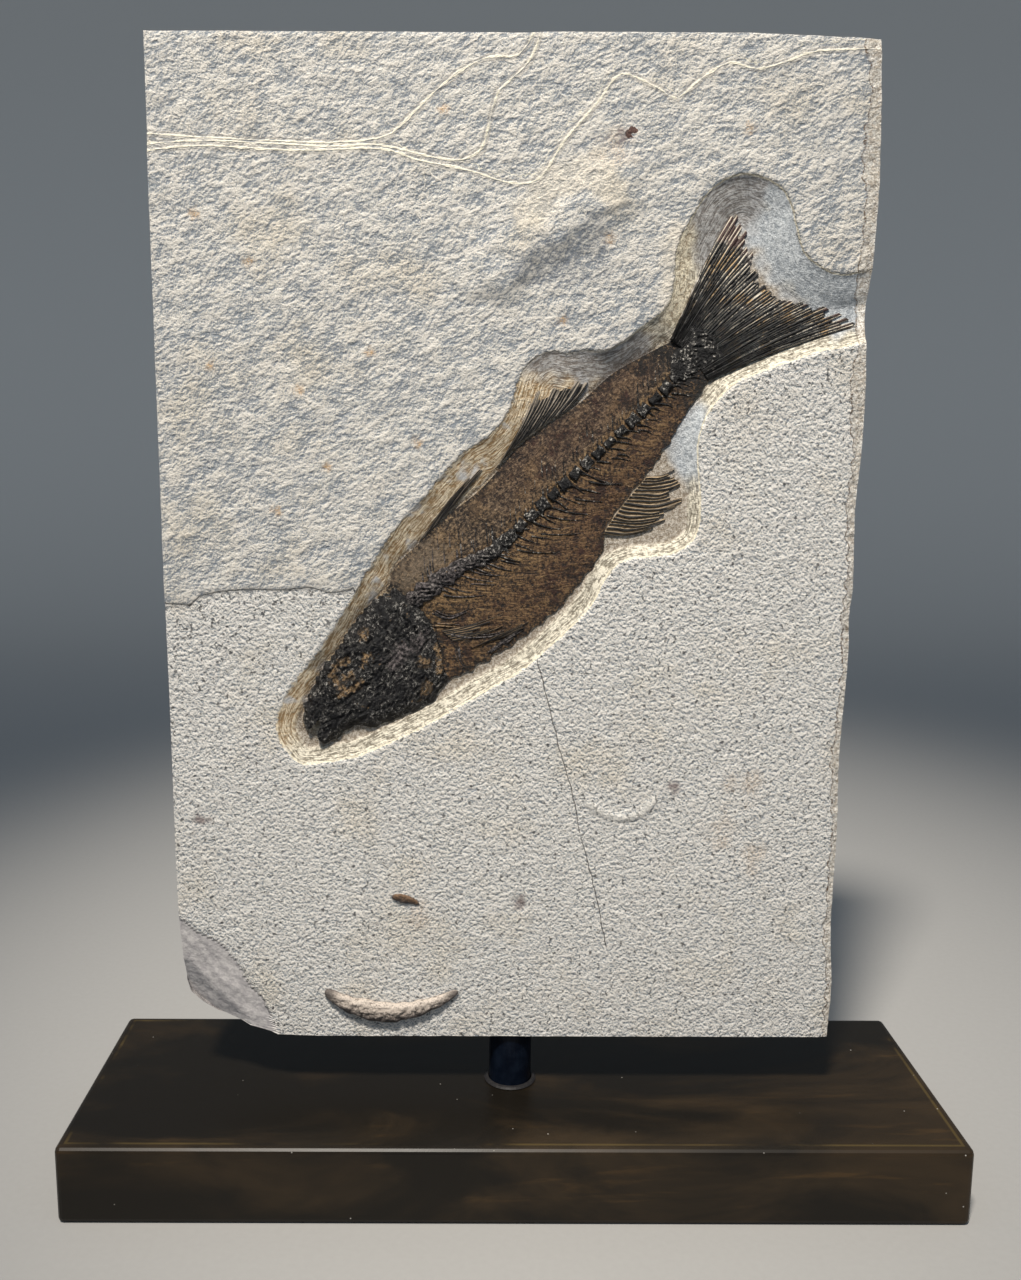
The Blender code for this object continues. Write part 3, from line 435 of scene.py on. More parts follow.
class Wiring:
    """Adds nodes to a tree and joins them up."""

    def __init__(self, tree):
        self.tree = tree

    def put(self, kind, inputs=None, **settings):
        node = self.tree.nodes.new(kind)
        for name, value in settings.items():
            setattr(node, name, value)
        for name, value in (inputs or {}).items():
            self.feed(node.inputs[name], value)
        return node

    def feed(self, socket, value):
        if isinstance(value, bpy.types.NodeSocket):
            self.tree.links.new(value, socket)
        else:
            socket.default_value = value

    def sum(self, operation, *values):
        node = self.put("ShaderNodeMath", operation=operation)
        for socket, value in zip(node.inputs, values):
            self.feed(socket, value)
        return node.outputs[0]

    def both(self, *shares):
        """The product of several masks."""
        total = shares[0]
        for share in shares[1:]:
            total = self.sum("MULTIPLY", total, share)
        return total

    def stack(self, *layers):
        """The sum of (value, amount) pairs."""
        total = 0.0
        for value, amount in layers:
            total = self.sum("MULTIPLY_ADD", value, amount, total)
        return total

    def mask(self, value, low, high):
        """A smooth step from 0 at low to 1 at high; it falls instead if low is over high."""
        rising = low < high
        node = self.put("ShaderNodeMapRange", {"Value": value, "From Min": min(low, high),
                                               "From Max": max(low, high), "To Min": 0.0 if rising else 1.0,
                                               "To Max": 1.0 if rising else 0.0}, interpolation_type="SMOOTHSTEP")
        return node.outputs[0]

    def line(self, value, half_width):
        """A thin line where a value is nought."""
        return self.mask(self.sum("ABSOLUTE", value), half_width, 0.35 * half_width)

    def mix(self, share, first, second):
        node = self.put("ShaderNodeMix", data_type="FLOAT")
        for socket, value in zip((0, 2, 3), (share, first, second)):
            self.feed(node.inputs[socket], value)
        return node.outputs[0]

    def blend(self, share, first, second, kind="MIX"):
        node = self.put("ShaderNodeMix", data_type="RGBA", blend_type=kind)
        for socket, value in zip((0, 6, 7), (share, first, second)):
            if isinstance(value, tuple) and len(value) == 3:
                value = (*value, 1)
            self.feed(node.inputs[socket], value)
        return node.outputs[2]

    def ramp(self, value, low, high, first, second):
        """The first colour where a value is at low, and the second where it is at high."""
        return self.blend(self.mask(value, low, high), first, second)

    def lay(self, under, over, *shares, kind="MIX"):
        """A colour laid over another, as far as all of some masks let it through."""
        return self.blend(self.both(*shares), under, over, kind)

    def layers(self, colour, *coats):
        """A colour with several coats laid over it in turn, each a colour and its masks."""
        for over, *shares in coats:
            colour = self.lay(colour, over, *shares)
        return colour

    def noise(self, vector, size, detail=4.0, roughness=0.55, distortion=0.0):
        return self.put("ShaderNodeTexNoise", {"Vector": vector, "Scale": 1 / size, "Detail": detail,
                                               "Roughness": roughness, "Distortion": distortion}).outputs["Fac"]

    def noise_and_painted_light(self, vector, size, detail, roughness):
        """Noise, and how much its slope faces up the slab, for painted light where it faces up and painted shade where
        it faces down.
        """
        here = self.noise(vector, size, detail, roughness)
        over = self.noise(self.vectors("ADD", vector, (0, 0, 0.35 * MM)), size, detail, roughness)
        return here, self.sum("SUBTRACT", here, over)

    def cells(self, vector, size, feature="F1"):
        return self.put("ShaderNodeTexVoronoi", {"Vector": vector, "Scale": 1 / size},
                        feature=feature).outputs["Distance"]

    def vectors(self, operation, first, second):
        return self.put("ShaderNodeVectorMath", {0: first, 1: second}, operation=operation).outputs[0]

    def axes(self, vector):
        return self.put("ShaderNodeSeparateXYZ", {"Vector": vector}).outputs

    def scaled(self, vector, x, y, z):
        return self.put("ShaderNodeMapping", {"Vector": vector, "Scale": (x, y, z)}).outputs[0]

    def stretch(self, vector, angle, length, width=1.0):
        """A vector in a frame turned in the slab's face and measured in lengths and widths."""
        return self.put("ShaderNodeMapping", {"Vector": vector, "Rotation": (0, -angle, 0),
                                              "Scale": (length, width, width)}, vector_type="TEXTURE").outputs[0]

    def place(self):
        return self.put("ShaderNodeTexCoord").outputs["Object"]

    def kept(self, name):
        """The three values that store() kept at each vertex."""
        attribute = self.put("ShaderNodeAttribute", attribute_name=name)
        return tuple(self.put("ShaderNodeSeparateColor", {"Color": attribute.outputs["Color"]}).outputs)

    def group(self, name, **inputs):
        node = self.put("ShaderNodeGroup", node_tree=bpy.data.node_groups[name])
        for key, value in inputs.items():
            self.feed(node.inputs[key.capitalize()], value)
        return node.outputs[0] if len(node.outputs) == 1 else tuple(node.outputs)

    def bump(self, height):
        """The surface's normal for a height in millimetres."""
        return self.put("ShaderNodeBump", {"Height": height, "Distance": MM}).outputs[0]


def new_group(name, inputs, outputs):
    """A shader node group with named sockets: its wiring, its input sockets and its output sockets."""
    tree = bpy.data.node_groups.new(name, "ShaderNodeTree")
    for label, (kind, value) in inputs.items():
        socket = tree.interface.new_socket(label, in_out="INPUT", socket_type=kind)
        if value is not None:
            socket.default_value = value
    for label in outputs:
        tree.interface.new_socket(label, in_out="OUTPUT", socket_type="NodeSocketFloat")
    wires = Wiring(tree)
    return wires, wires.put("NodeGroupInput").outputs, wires.put("NodeGroupOutput").inputs


class Finish(Wiring):
    """A material and its wiring, with plain values set on its Principled shader's own sockets."""

    def __init__(self, name, specular=0.5, roughness=0.5):
        self.material = bpy.data.materials.new(name)
        self.material.use_nodes = True
        super().__init__(self.material.node_tree)
        self.surface = self.tree.nodes["Principled BSDF"]
        self.surface.inputs["Specular IOR Level"].default_value = specular
        self.surface.inputs["Roughness"].default_value = roughness

    def coat(self, colour, roughness=None, height=None):
        """Joins up the colour, the roughness and a bump from a height in millimetres, and gives the material."""
        self.feed(self.surface.inputs["Base Color"], colour)
        if roughness is not None:
            self.feed(self.surface.inputs["Roughness"], roughness)
        if height is not None:
            self.feed(self.surface.inputs["Normal"], self.bump(height))
        return self.material


def lighter(colour, times):
    return tuple(min(1, times * part) for part in colour)


VECTOR, VALUE = "NodeSocketVector", "NodeSocketFloat"


def make_stone_grain():
    """Grain, pits and broad clouds of dull stone, used by every bare stone surface."""
    wires, given, out = new_group("Stone grain", {"Vector": (VECTOR, None)}, ("Grain", "Pits", "Cloud"))
    place = given["Vector"]
    wires.feed(out["Grain"], wires.noise(place, 0.42 * MM, detail=4, roughness=0.7))
    wires.feed(out["Pits"], wires.mask(wires.noise(place, 1.3 * MM, detail=3, roughness=0.5), 0.39, 0.33))
    wires.feed(out["Cloud"], wires.noise(place, 22 * MM, detail=3))


def make_streaks():
    """Noise drawn out along the lines on which a row value, in millimetres, stays the same."""
    wires, given, out = new_group("Drawn-out streaks", {"Vector": (VECTOR, None), "Row": (VALUE, 0.0),
                                                        "Width": (VALUE, 0.5), "Length": (VALUE, 5.0)}, ("Streaks",))
    axes = wires.axes(given["Vector"])
    reach = wires.sum("MULTIPLY", given["Length"], MM)
    vector = wires.put("ShaderNodeCombineXYZ", {
        "X": wires.sum("DIVIDE", given["Row"], given["Width"]), "Y": wires.sum("DIVIDE", axes["X"], reach),
        "Z": wires.sum("DIVIDE", axes["Z"], reach)}).outputs[0]
    wires.feed(out["Streaks"], wires.noise(vector, 1.0, detail=3, roughness=0.62))


def make_fossil_mottle():
    """Dark blotches, crumbs and fine fibres of fossil skin and bone."""
    wires, given, out = new_group("Fossil mottle", {"Vector": (VECTOR, None)}, ("Blotch", "Fibre", "Crumb"))
    place = given["Vector"]
    blotch = wires.noise(place, 3.6 * MM, detail=4, roughness=0.65, distortion=0.5)
    wires.feed(out["Blotch"], wires.mask(blotch, 0.52, 0.62))
    wires.feed(out["Fibre"], wires.noise(wires.stretch(place, FISH_ANGLE, 3.6, 0.75), 0.62 * MM, detail=4,
                                         roughness=0.7, distortion=0.7))
    wires.feed(out["Crumb"], wires.noise(place, 0.8 * MM, detail=5, roughness=0.75))


def make_dust():
    """Sparse pale specks of dust on the stand."""
    wires, given, out = new_group("Dust specks", {"Vector": (VECTOR, None), "Spacing": (VALUE, 5.0)}, ("Dust",))
    place = wires.put("ShaderNodeVectorMath", {0: given["Vector"]}, operation="SCALE")
    wires.feed(place.inputs["Scale"], wires.sum("DIVIDE", 1 / MM, given["Spacing"]))
    spots = wires.put("ShaderNodeTexVoronoi", {"Vector": place.outputs[0], "Scale": 1.0})
    tint = wires.put("ShaderNodeSeparateColor", {"Color": spots.outputs["Color"]}).outputs
    near = wires.mask(spots.outputs["Distance"], 0.055, 0.02)
    wires.feed(out["Dust"], wires.both(near, wires.mask(tint["Red"], 0.7, 0.75)))


# ---------------------------------------------------------------- finishes

def limestone_finish():
    """Cream-grey limestone: chiselled above the bed ledge, evenly pitted below it, scraped in the hollow and sawn
    at the back and sides."""
    look = bpy.context.scene.fossil_stone
    wires = Finish("Dressed limestone", specular=0.12)
    place = wires.place()
    above_ledge, inside, tan = wires.kept("beds")
    first_ledge, second_ledge, third_ledge = wires.kept("ledges")
    crack, broken, past_brink = wires.kept("marks")
    iron, film, mauve_spot = wires.kept("stains")
    painted_blue_shade, mauve, cream = wires.kept("painted_shade_highlight_and_tints")
    sawn, floor, _ = wires.kept("sides")
    mound_shade, ridge_highlight, _ = wires.kept("painted_shade_and_highlight")
    grain, pits, cloud = wires.group("Stone grain", vector=place)
    upper = wires.mask(above_ledge, -0.1, 0.4)
    ragged = wires.stack((inside, 1.0), (wires.noise(place, 1.7 * MM, detail=5, roughness=0.7), 3.4), (1.9, -1.0))
    hollow = wires.mask(ragged, -0.3, 0.4)

    # Chiselled upper bed: wrinkled crests over soft hollows, and thin flake edges
    hollows = wires.noise(wires.stretch(place, TOOL_ANGLE, 1.9), 2.6 * MM, detail=5, roughness=0.66)
    # The second value, dusty, is painted light and shade: lighter where the slope faces up, darker where it faces down
    hairs, dusty = wires.noise_and_painted_light(wires.stretch(place, TOOL_ANGLE, 1.25), 1.25 * MM, 5, 0.74)
    swirl = wires.put("ShaderNodeTexNoise", {"Vector": place, "Scale": 1 / (4 * MM), "Detail": 3.0}).outputs["Color"]
    swirl = wires.vectors("MULTIPLY", swirl, (5 * MM,) * 3)
    flakes = wires.cells(wires.vectors("ADD", place, swirl), 12 * MM, feature="DISTANCE_TO_EDGE")
    flake_edge = wires.both(wires.mask(flakes, 0.016, 0.006), wires.mask(wires.noise(place, 6 * MM), 0.55, 0.60))
    chiselled = wires.stack((hollows, 1.15 * look.chisel_depth / MM), (hairs, 1.2 * look.chisel_depth / MM),
                            (grain, 0.34), (flake_edge, 0.2))

    # Lower bed: small even granules with pits, painted dark as shade
    # The second value is painted light and shade on the granules' slopes, as on the upper bed
    granules, lower_painted_light = wires.noise_and_painted_light(place, 0.85 * MM, 4, 0.74)
    pebbles = wires.cells(place, 1.25 * MM)
    swell = wires.noise(place, 3.0 * MM, detail=2)
    stippled = wires.stack((granules, look.stipple_depth / MM), (pebbles, -0.60), (swell, 0.9), (pits, -0.50),
                           (grain, 0.34))

    # Scraper lines that follow the hollow's brink
    wobble = wires.sum("MULTIPLY_ADD", wires.noise(place, 6 * MM, detail=3), 1.4, inside)
    scraped = wires.group("Drawn-out streaks", vector=place, row=wobble, width=0.30, length=3.6)
    smooth = wires.sum("MAXIMUM", painted_blue_shade, mauve)
    rubble = wires.noise(place, 1.1 * MM, detail=4, roughness=0.7)
    rough_floor = wires.stack((scraped, 0.50), (grain, 0.30), (rubble, 0.70))
    even_floor = wires.stack((grain, 0.32), (scraped, 0.16), (rubble, 0.30))
    hollowed = wires.mix(wires.sum("MAXIMUM", floor, wires.both(smooth, 0.75)), rough_floor, even_floor)

    # Thin cream lines painted as highlights on the ledges' steps, painted shadow lines beside them, the hair crack, the
    # saw's lines and the whole height
    edge = wires.sum("MINIMUM", wires.sum("MINIMUM", wires.sum("ABSOLUTE", first_ledge),
                                          wires.sum("ABSOLUTE", second_ledge)), wires.sum("ABSOLUTE", third_ledge))
    jitter = wires.noise(place, 3 * MM, detail=3)
    # thin is a painted highlight along each ledge, and under is a painted shadow line beside it
    thin, under = (wires.mask(wires.sum("ABSOLUTE", wires.stack((edge, 1.0), (jitter, 1.2), (away, -1.0))), far, close)
                   for away, far, close in ((0.6, 0.36, 0.14), (1.3, 0.40, 0.10)))
    cracked = wires.both(wires.line(wires.stack((wires.noise(place, 3 * MM), 1.2), (crack, 1.0), (0.6, -1.0)), 0.20),
                         wires.mask(wires.noise(place, 5 * MM), 0.28, 0.36))
    saw_lines = wires.noise(wires.scaled(place, 0.02, 1, 1), 0.9 * MM, detail=2)
    height = wires.mix(upper, stippled, wires.stack((chiselled, 1.0), (thin, 0.35)))
    height = wires.mix(hollow, height, hollowed)
    height = wires.mix(broken, height, wires.stack((wires.noise(place, 3 * MM, detail=5, roughness=0.6), 0.5)))
    height = wires.mix(sawn, height, wires.stack((saw_lines, 0.10), (grain, 0.08)))
    height = wires.stack((height, 1.0), (cracked, -0.25))

    # Colours of the dressed face: painted shade in the low places and on slopes that face down, and painted light on
    # slopes that face up
    tone = wires.stack((hollows, 1.3), (hairs, 0.7), (grain, 0.4), (dusty, 2.0), (flake_edge, 0.4))
    body = wires.ramp(tone, 0.90, 1.42, look.stone_shade[:], look.stone_colour[:])
    tone = wires.stack((granules, 0.8), (grain, 0.4), (lower_painted_light, 1.5), (pebbles, -0.15))
    lower = wires.ramp(tone, 0.30, 0.55, look.lower_bed_shade[:], look.lower_bed_colour[:])
    # Painted shade in the pits
    lower = wires.lay(lower, (0.15, 0.155, 0.16), pits, 0.9)
    stone = wires.blend(upper, lower, body)
    stone = wires.lay(stone, (0.96, 0.90, 0.80), wires.mask(cloud, 0.50, 0.75), 0.6, kind="MULTIPLY")
    # A further painted highlight line near the first ledge
    echo_highlight = wires.both(wires.line(wires.stack((first_ledge, 1.0), (jitter, 5.0), (4.3, -1.0)), 0.20),
                      wires.mask(wires.noise(place, 9 * MM), 0.42, 0.50))
    # Outside the hollow the cream is a tint and a painted highlight on the mound's lit crest
    stone = wires.layers(stone, ((1.0, 0.88, 0.68), cream, wires.sum("SUBTRACT", 1.0, hollow), 0.30),
                         ((0.235, 0.26, 0.30), mound_shade, wires.mask(hairs, 0.66, 0.40), 0.60),
                         # Painted highlight along the small ridge's top
                         ((1.0, 0.97, 0.90), ridge_highlight, wires.mask(grain, 0.34, 0.52), 0.85),
                         # Painted shadow beside the ledges, then painted highlights on them
                         ((0.36, 0.33, 0.29), under, 0.45),
                         ((1.0, 0.95, 0.80), wires.sum("MAXIMUM", thin, wires.both(echo_highlight, 0.8))))

    # Colours of the hollow, each from a dark to a light by some of its streaks, rubble and grain
    low_wall, tan_wall, bed_floor, blue_shade_colour, brushed, speckled = (
        wires.ramp(wires.stack(*layers), low, high, dark, light) for *layers, low, high, dark, light in (
            ((scraped, 0.6), (rubble, 0.6), 0.50, 0.70, (0.25, 0.225, 0.18), (0.94, 0.88, 0.74)),
            ((scraped, 0.8), (rubble, 0.4), 0.50, 0.72, (0.34, 0.225, 0.115), (0.95, 0.83, 0.63)),
            ((grain, 0.5), (rubble, 0.6), 0.46, 0.66, (0.26, 0.215, 0.165), (0.62, 0.57, 0.50)),
            ((grain, 0.5), (rubble, 0.5), 0.40, 0.60, (0.30, 0.335, 0.375), (0.66, 0.70, 0.735)),
            ((scraped, 0.6), (rubble, 0.5), 0.46, 0.66, (0.22, 0.205, 0.195), (0.53, 0.53, 0.535)),
            ((grain, 0.5), (rubble, 0.6), 0.46, 0.64, (0.33, 0.27, 0.19), (0.92, 0.84, 0.66))))
    tan_wall = wires.ramp(wires.noise(place, 7 * MM, detail=3), 0.55, 0.68, tan_wall,
                          wires.blend(scraped, (0.45, 0.44, 0.43), (0.84, 0.84, 0.84)))
    # lip is a painted highlight just inside the hollow's lit brink, mostly left off the tan back side
    lip = wires.both(wires.line(wires.stack((inside, 1.0), (jitter, 0.8), (0.75, -1.0)), 0.30),
                     wires.sum("SUBTRACT", 1.0, wires.both(tan, 0.8)))
    hollowed = wires.blend(tan, low_wall, tan_wall)
    # The blue-grey coat is painted shade
    hollowed = wires.layers(hollowed, (bed_floor, floor), (blue_shade_colour, painted_blue_shade, 0.92), (brushed, mauve, 0.9),
                            (speckled, cream), ((0.10, 0.066, 0.040), film, wires.mask(grain, 0.66, 0.36)))

    # Broken corner, broken edge, sawn sides, stains and the hair crack
    mauve_grey = wires.ramp(wires.noise(place, 1.6 * MM, detail=4), 0.35, 0.65, (0.44, 0.42, 0.425),
                            (0.60, 0.575, 0.565))
    flaky = wires.ramp(wires.stack((rubble, 0.6), (grain, 0.5)), 0.48, 0.62, (0.50, 0.42, 0.33), (1.0, 0.96, 0.88))
    sawn_stone = wires.ramp(saw_lines, 0.35, 0.65, (0.50, 0.475, 0.42), (0.60, 0.57, 0.50))
    sawn_stone = wires.lay(sawn_stone, (0.52, 0.46, 0.36), wires.mask(cloud, 0.45, 0.7), 0.6)
    stone = wires.layers(stone, (hollowed, hollow), ((0.98, 0.90, 0.70), lip, 0.7), (mauve_grey, broken),
                         (flaky, wires.mask(past_brink, -0.2, 0.8), 0.7),
                         ((0.20, 0.145, 0.10), wires.line(past_brink, 0.30), wires.mask(grain, 0.40, 0.56)),
                         (sawn_stone, sawn), ((0.68, 0.45, 0.24), iron, wires.mask(grain, 0.36, 0.56)),
                         ((0.24, 0.18, 0.175), mauve_spot, 0.8), ((0.10, 0.09, 0.085), cracked, 0.85))
    return wires.coat(stone, wires.mask(grain, -1.2, 0.4), height)


def skin_finish():
    """Brown fossil skin: fine rib-wise lines, maroon blotches, and a greyer hatched back."""
    look = bpy.context.scene.fossil_fish
    wires = Finish("Fossil skin", specular=0.35)
    place = wires.place()
    blotch, fibre, crumb = wires.group("Fossil mottle", vector=place)
    rib_row, over_spine, rim = wires.kept("fish")
    along_fish, fade, maroon = wires.kept("body")
    girdle = wires.kept("dark")[0]
    rows = wires.sum("MULTIPLY_ADD", wires.noise(place, 4 * MM, detail=2), 2.4, rib_row)
    lines = wires.group("Drawn-out streaks", vector=place, row=rows, width=0.62, length=6.0)
    lower = wires.ramp(wires.stack((lines, 0.45), (crumb, 0.75)), 0.53, 0.67, look.skin_shade[:], look.skin_colour[:])
    lower = wires.lay(lower, (0.46, 0.32, 0.15), wires.both(wires.mask(lines, 0.57, 0.63),
                                                            wires.mask(crumb, 0.44, 0.56)), 0.65)
    hatch = wires.ramp(wires.stack((fibre, 0.6), (crumb, 0.5)), 0.50, 0.63, (0.036, 0.026, 0.019),
                       (0.200, 0.142, 0.092))
    hatch = wires.lay(hatch, (0.33, 0.24, 0.15), wires.mask(crumb, 0.54, 0.66), 0.7)
    colour = wires.ramp(over_spine, 0.5, 3.5, lower, hatch)
    dark_line = wires.both(wires.mask(lines, 0.39, 0.33), wires.mask(blotch, 0.0, 0.4))
    charred = wires.mask(wires.noise(place, 3.6 * MM, detail=6, roughness=0.78), 0.48, 0.55)
    tail_root = wires.mask(wires.stack((along_fish, 1.0), (blotch, 0.05)), 1.34, 1.44)
    colour = wires.layers(colour,
                          ((0.30, 0.19, 0.09), wires.mask(wires.noise(place, 8 * MM, detail=3), 0.46, 0.66), 0.35),
                          ((0.026, 0.009, 0.009), wires.sum("MULTIPLY_ADD", maroon, 0.75, 0.25), blotch, 0.95),
                          ((0.075, 0.028, 0.018), maroon, 0.35),
                          ((0.022, 0.014, 0.010), charred, wires.mask(crumb, 0.62, 0.40), 0.85),
                          ((0.014, 0.010, 0.008), dark_line, 0.8),
                          ((0.010, 0.008, 0.008), wires.mask(crumb, 0.46, 0.38)),
                          ((0.56, 0.43, 0.26), wires.mask(crumb, 0.62, 0.70), 0.7),
                          ((0.014, 0.011, 0.010), rim, wires.mask(crumb, 0.60, 0.46)),
                          ((0.22, 0.17, 0.12), fade, 0.55),
                          ((0.012, 0.011, 0.011), girdle, wires.mask(crumb, 0.62, 0.46)),
                          ((0.012, 0.011, 0.011), tail_root, wires.mask(crumb, 0.66, 0.50)))
    return wires.coat(colour, wires.sum("MULTIPLY_ADD", crumb, 0.5, 0.36),
                      wires.stack((lines, 0.34), (crumb, 0.70), (fibre, 0.26)))


def bone_finish(name, tan_share, gloss, kept, specks=0.0):
    """Black fossil bone, torn into fibres and half glossy, with tan and grey left in its hollows. The values kept on
    the piece are its tan, black and maroon places."""
    wires = Finish(name, specular=0.36)
    place = wires.place()
    _, fibre, crumb = wires.group("Fossil mottle", vector=place)
    tan_place, black_place, maroon_place = wires.kept(kept)
    torn = wires.noise(place, 2.2 * MM, detail=5, roughness=0.68, distortion=1.4)
    patchy = wires.mask(wires.noise(place, 3.2 * MM, detail=3), 0.44, 0.56)
    fibres = wires.both(wires.line(wires.sum("SUBTRACT", torn, 0.5), 0.034), patchy)
    grey = wires.both(fibres, wires.mask(crumb, 0.46, 0.60))
    tan = wires.mask(wires.noise(place, 3.0 * MM, detail=4, roughness=0.7), 0.74 - tan_share, 0.80 - tan_share)
    tan = wires.sum("MAXIMUM", wires.both(tan, 0.8), wires.both(tan_place, wires.mask(fibre, 0.40, 0.50)))
    colour = wires.ramp(torn, 0.50, 0.74, (0.0030, 0.0030, 0.0040), (0.014, 0.013, 0.013))
    colour = wires.layers(colour, ((0.56, 0.54, 0.50), grey, 0.9),
                          ((0.60, 0.57, 0.52), wires.mask(crumb, 0.66 - specks, 0.71 - specks), patchy),
                          ((0.17, 0.145, 0.145), maroon_place, wires.mask(crumb, 0.42, 0.60)),
                          ((0.36, 0.235, 0.12), tan, wires.mask(crumb, 0.38, 0.52), 0.9),
                          ((0.008, 0.008, 0.009), black_place, 0.85))
    return wires.coat(colour, wires.sum("MULTIPLY_ADD", crumb, 0.5, 0.40 - gloss),
                      wires.stack((torn, 0.85), (crumb, 0.26), (fibre, 0.20), (fibres, 0.12)))


def tail_finish():
    """Tail rays: black with gold and cream threads, speckled at the root, worn to maroon and then to stone."""
    wires = Finish("Tail rays", specular=0.5)
    place = wires.place()
    crumb = wires.group("Fossil mottle", vector=place)[2]
    ray, out_to_tip, _ = wires.kept("fin")
    threads = wires.group("Drawn-out streaks", vector=place, row=wires.kept("fan")[0], width=0.8, length=8.0)
    bare, maroon, root = wires.kept("worn")
    thread_colour = wires.ramp(wires.noise(place, 5 * MM, detail=2), 0.38, 0.54, (0.60, 0.42, 0.22),
                               (0.86, 0.79, 0.66))
    thread = wires.both(wires.mask(ray, 0.60, 0.34),
                        wires.mask(wires.stack((threads, 0.6), (crumb, 0.4), (out_to_tip, 0.06)), 0.50, 0.58),
                        wires.sum("MULTIPLY_ADD", root, -0.8, 1.0))
    worn = wires.ramp(wires.stack((ray, -0.45), (threads, 1.0)), 0.24, 0.34, (0.050, 0.022, 0.020), (0.60, 0.53, 0.43))
    stone = wires.lay((0.64, 0.61, 0.56), (0.13, 0.095, 0.075), wires.mask(ray, 0.55, 0.85),
                      wires.mask(crumb, 0.62, 0.42))
    colour = wires.ramp(crumb, 0.50, 0.72, (0.0050, 0.0050, 0.0060), (0.026, 0.024, 0.024))
    colour = wires.layers(colour, (thread_colour, thread, 0.95),
                          ((0.34, 0.33, 0.32), root, wires.mask(crumb, 0.60, 0.68)), (worn, maroon), (stone, bare))
    return wires.coat(colour, wires.sum("MULTIPLY_ADD", crumb, 0.45, 0.30), wires.stack((crumb, 0.30), (threads, 0.30)))


def fin_finish(name, between, gap, fade_from):
    """Separate dark rays that lie on a thin film of stone, coloured as given between them, and fade to their tips."""
    wires = Finish(name, specular=0.4)
    place = wires.place()
    crumb = wires.group("Fossil mottle", vector=place)[2]
    ray, out_to_tip, luck = wires.kept("fin")
    threads = wires.group("Drawn-out streaks", vector=place, row=wires.kept("fan")[0], width=0.30, length=8.0)
    dark = wires.mask(wires.stack((ray, 1.0), (threads, 0.8), (gap, -1.0)), 0.0, 0.30)
    lasting = wires.mask(wires.stack((out_to_tip, 1.0), (luck, 0.35), (crumb, 0.30)), fade_from + 0.70,
                         fade_from + 0.35)
    film = wires.ramp(threads, 0.40, 0.60, between, lighter(between, 2.1))
    black = wires.ramp(crumb, 0.50, 0.70, (0.0075, 0.0075, 0.0085), (0.075, 0.066, 0.058))
    return wires.coat(wires.lay(film, black, dark, lasting), wires.sum("MULTIPLY_ADD", crumb, 0.45, 0.38),
                      wires.stack((crumb, 0.20), (threads, 0.40)))


def coprolite_finish(name, light, dark):
    """A rough pod with pale crumbs, a painted highlight along its top, and painted shade on its underside and in its
    pits; its ends are darker too.
    """
    wires = Finish(name, specular=0.25)
    grain, pits, _ = wires.group("Stone grain", vector=wires.place())
    height_up, along_it, _ = wires.kept("fin")
    ends = wires.mask(wires.sum("ABSOLUTE", wires.sum("SUBTRACT", along_it, 0.5)), 0.36, 0.47)
    # low is painted shade on the pod's underside
    low = wires.mask(wires.stack((height_up, 1.0), (grain, 0.5)), 0.74, 0.40)
    # The colour grows lighter towards the top, as painted light
    body = wires.ramp(wires.stack((grain, 1.0), (height_up, 0.30)), 0.46, 0.80, dark, light)
    body = wires.layers(body,
                        # A painted highlight along the pod's top
                        (lighter(light, 1.45), wires.mask(height_up, 0.72, 0.90), wires.mask(grain, 0.40, 0.52)),
                        ((0.095, 0.082, 0.078), wires.sum("MAXIMUM", low, ends), 0.85),
                        # Painted shade in the pits
                        ((0.08, 0.06, 0.05), pits, 0.6))
    return wires.coat(body, wires.sum("MULTIPLY_ADD", grain, 0.3, 0.65), wires.stack((grain, 0.5), (pits, -0.1)))


def patina_finish():
    """Dark waxed patina on steel: brown clouds and streaks, a rubbed line inside the rim and a little dust."""
    look = bpy.context.scene.fossil_stand
    wires = Finish("Waxed steel patina", specular=0.24)
    place = wires.place()
    cloud = wires.noise(wires.stretch(place, 0.0, 2.4), 34 * MM, detail=5, roughness=0.58, distortion=0.7)
    streak = wires.noise(wires.stretch(place, 0.03, 11.0), 4 * MM, detail=4, roughness=0.6, distortion=0.3)
    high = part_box("base")[1]
    axes = wires.axes(place)
    rim = wires.sum("MINIMUM", *(wires.sum("SUBTRACT", reach, wires.sum("ABSOLUTE", axes[axis]))
                                 for axis, reach in (("X", high.x), ("Y", high.y))))
    rubbed = wires.both(wires.line(wires.sum("SUBTRACT", rim, 2.6 * MM), 0.6 * MM), wires.mask(cloud, 0.50, 0.62),
                        wires.mask(axes["Z"], high.z - 1 * MM, high.z - 0.2 * MM))
    dust = wires.group("Dust specks", vector=place, spacing=5.0)
    colour = wires.ramp(cloud, 0.44, 0.74, look.patina_dark[:], look.patina_brown[:])
    colour = wires.layers(colour,
                          ((0.070, 0.040, 0.015), wires.mask(streak, 0.58, 0.72), wires.mask(cloud, 0.50, 0.66), 0.6),
                          ((0.10, 0.070, 0.024), rubbed, 0.6), ((0.5, 0.48, 0.44), dust, 0.8))
    return wires.coat(colour, wires.stack((cloud, 0.24), (dust, 0.5), (0.24, 1.0)),
                      wires.stack((wires.noise(place, 0.5 * MM, detail=3), 0.008), (cloud, 0.05)))


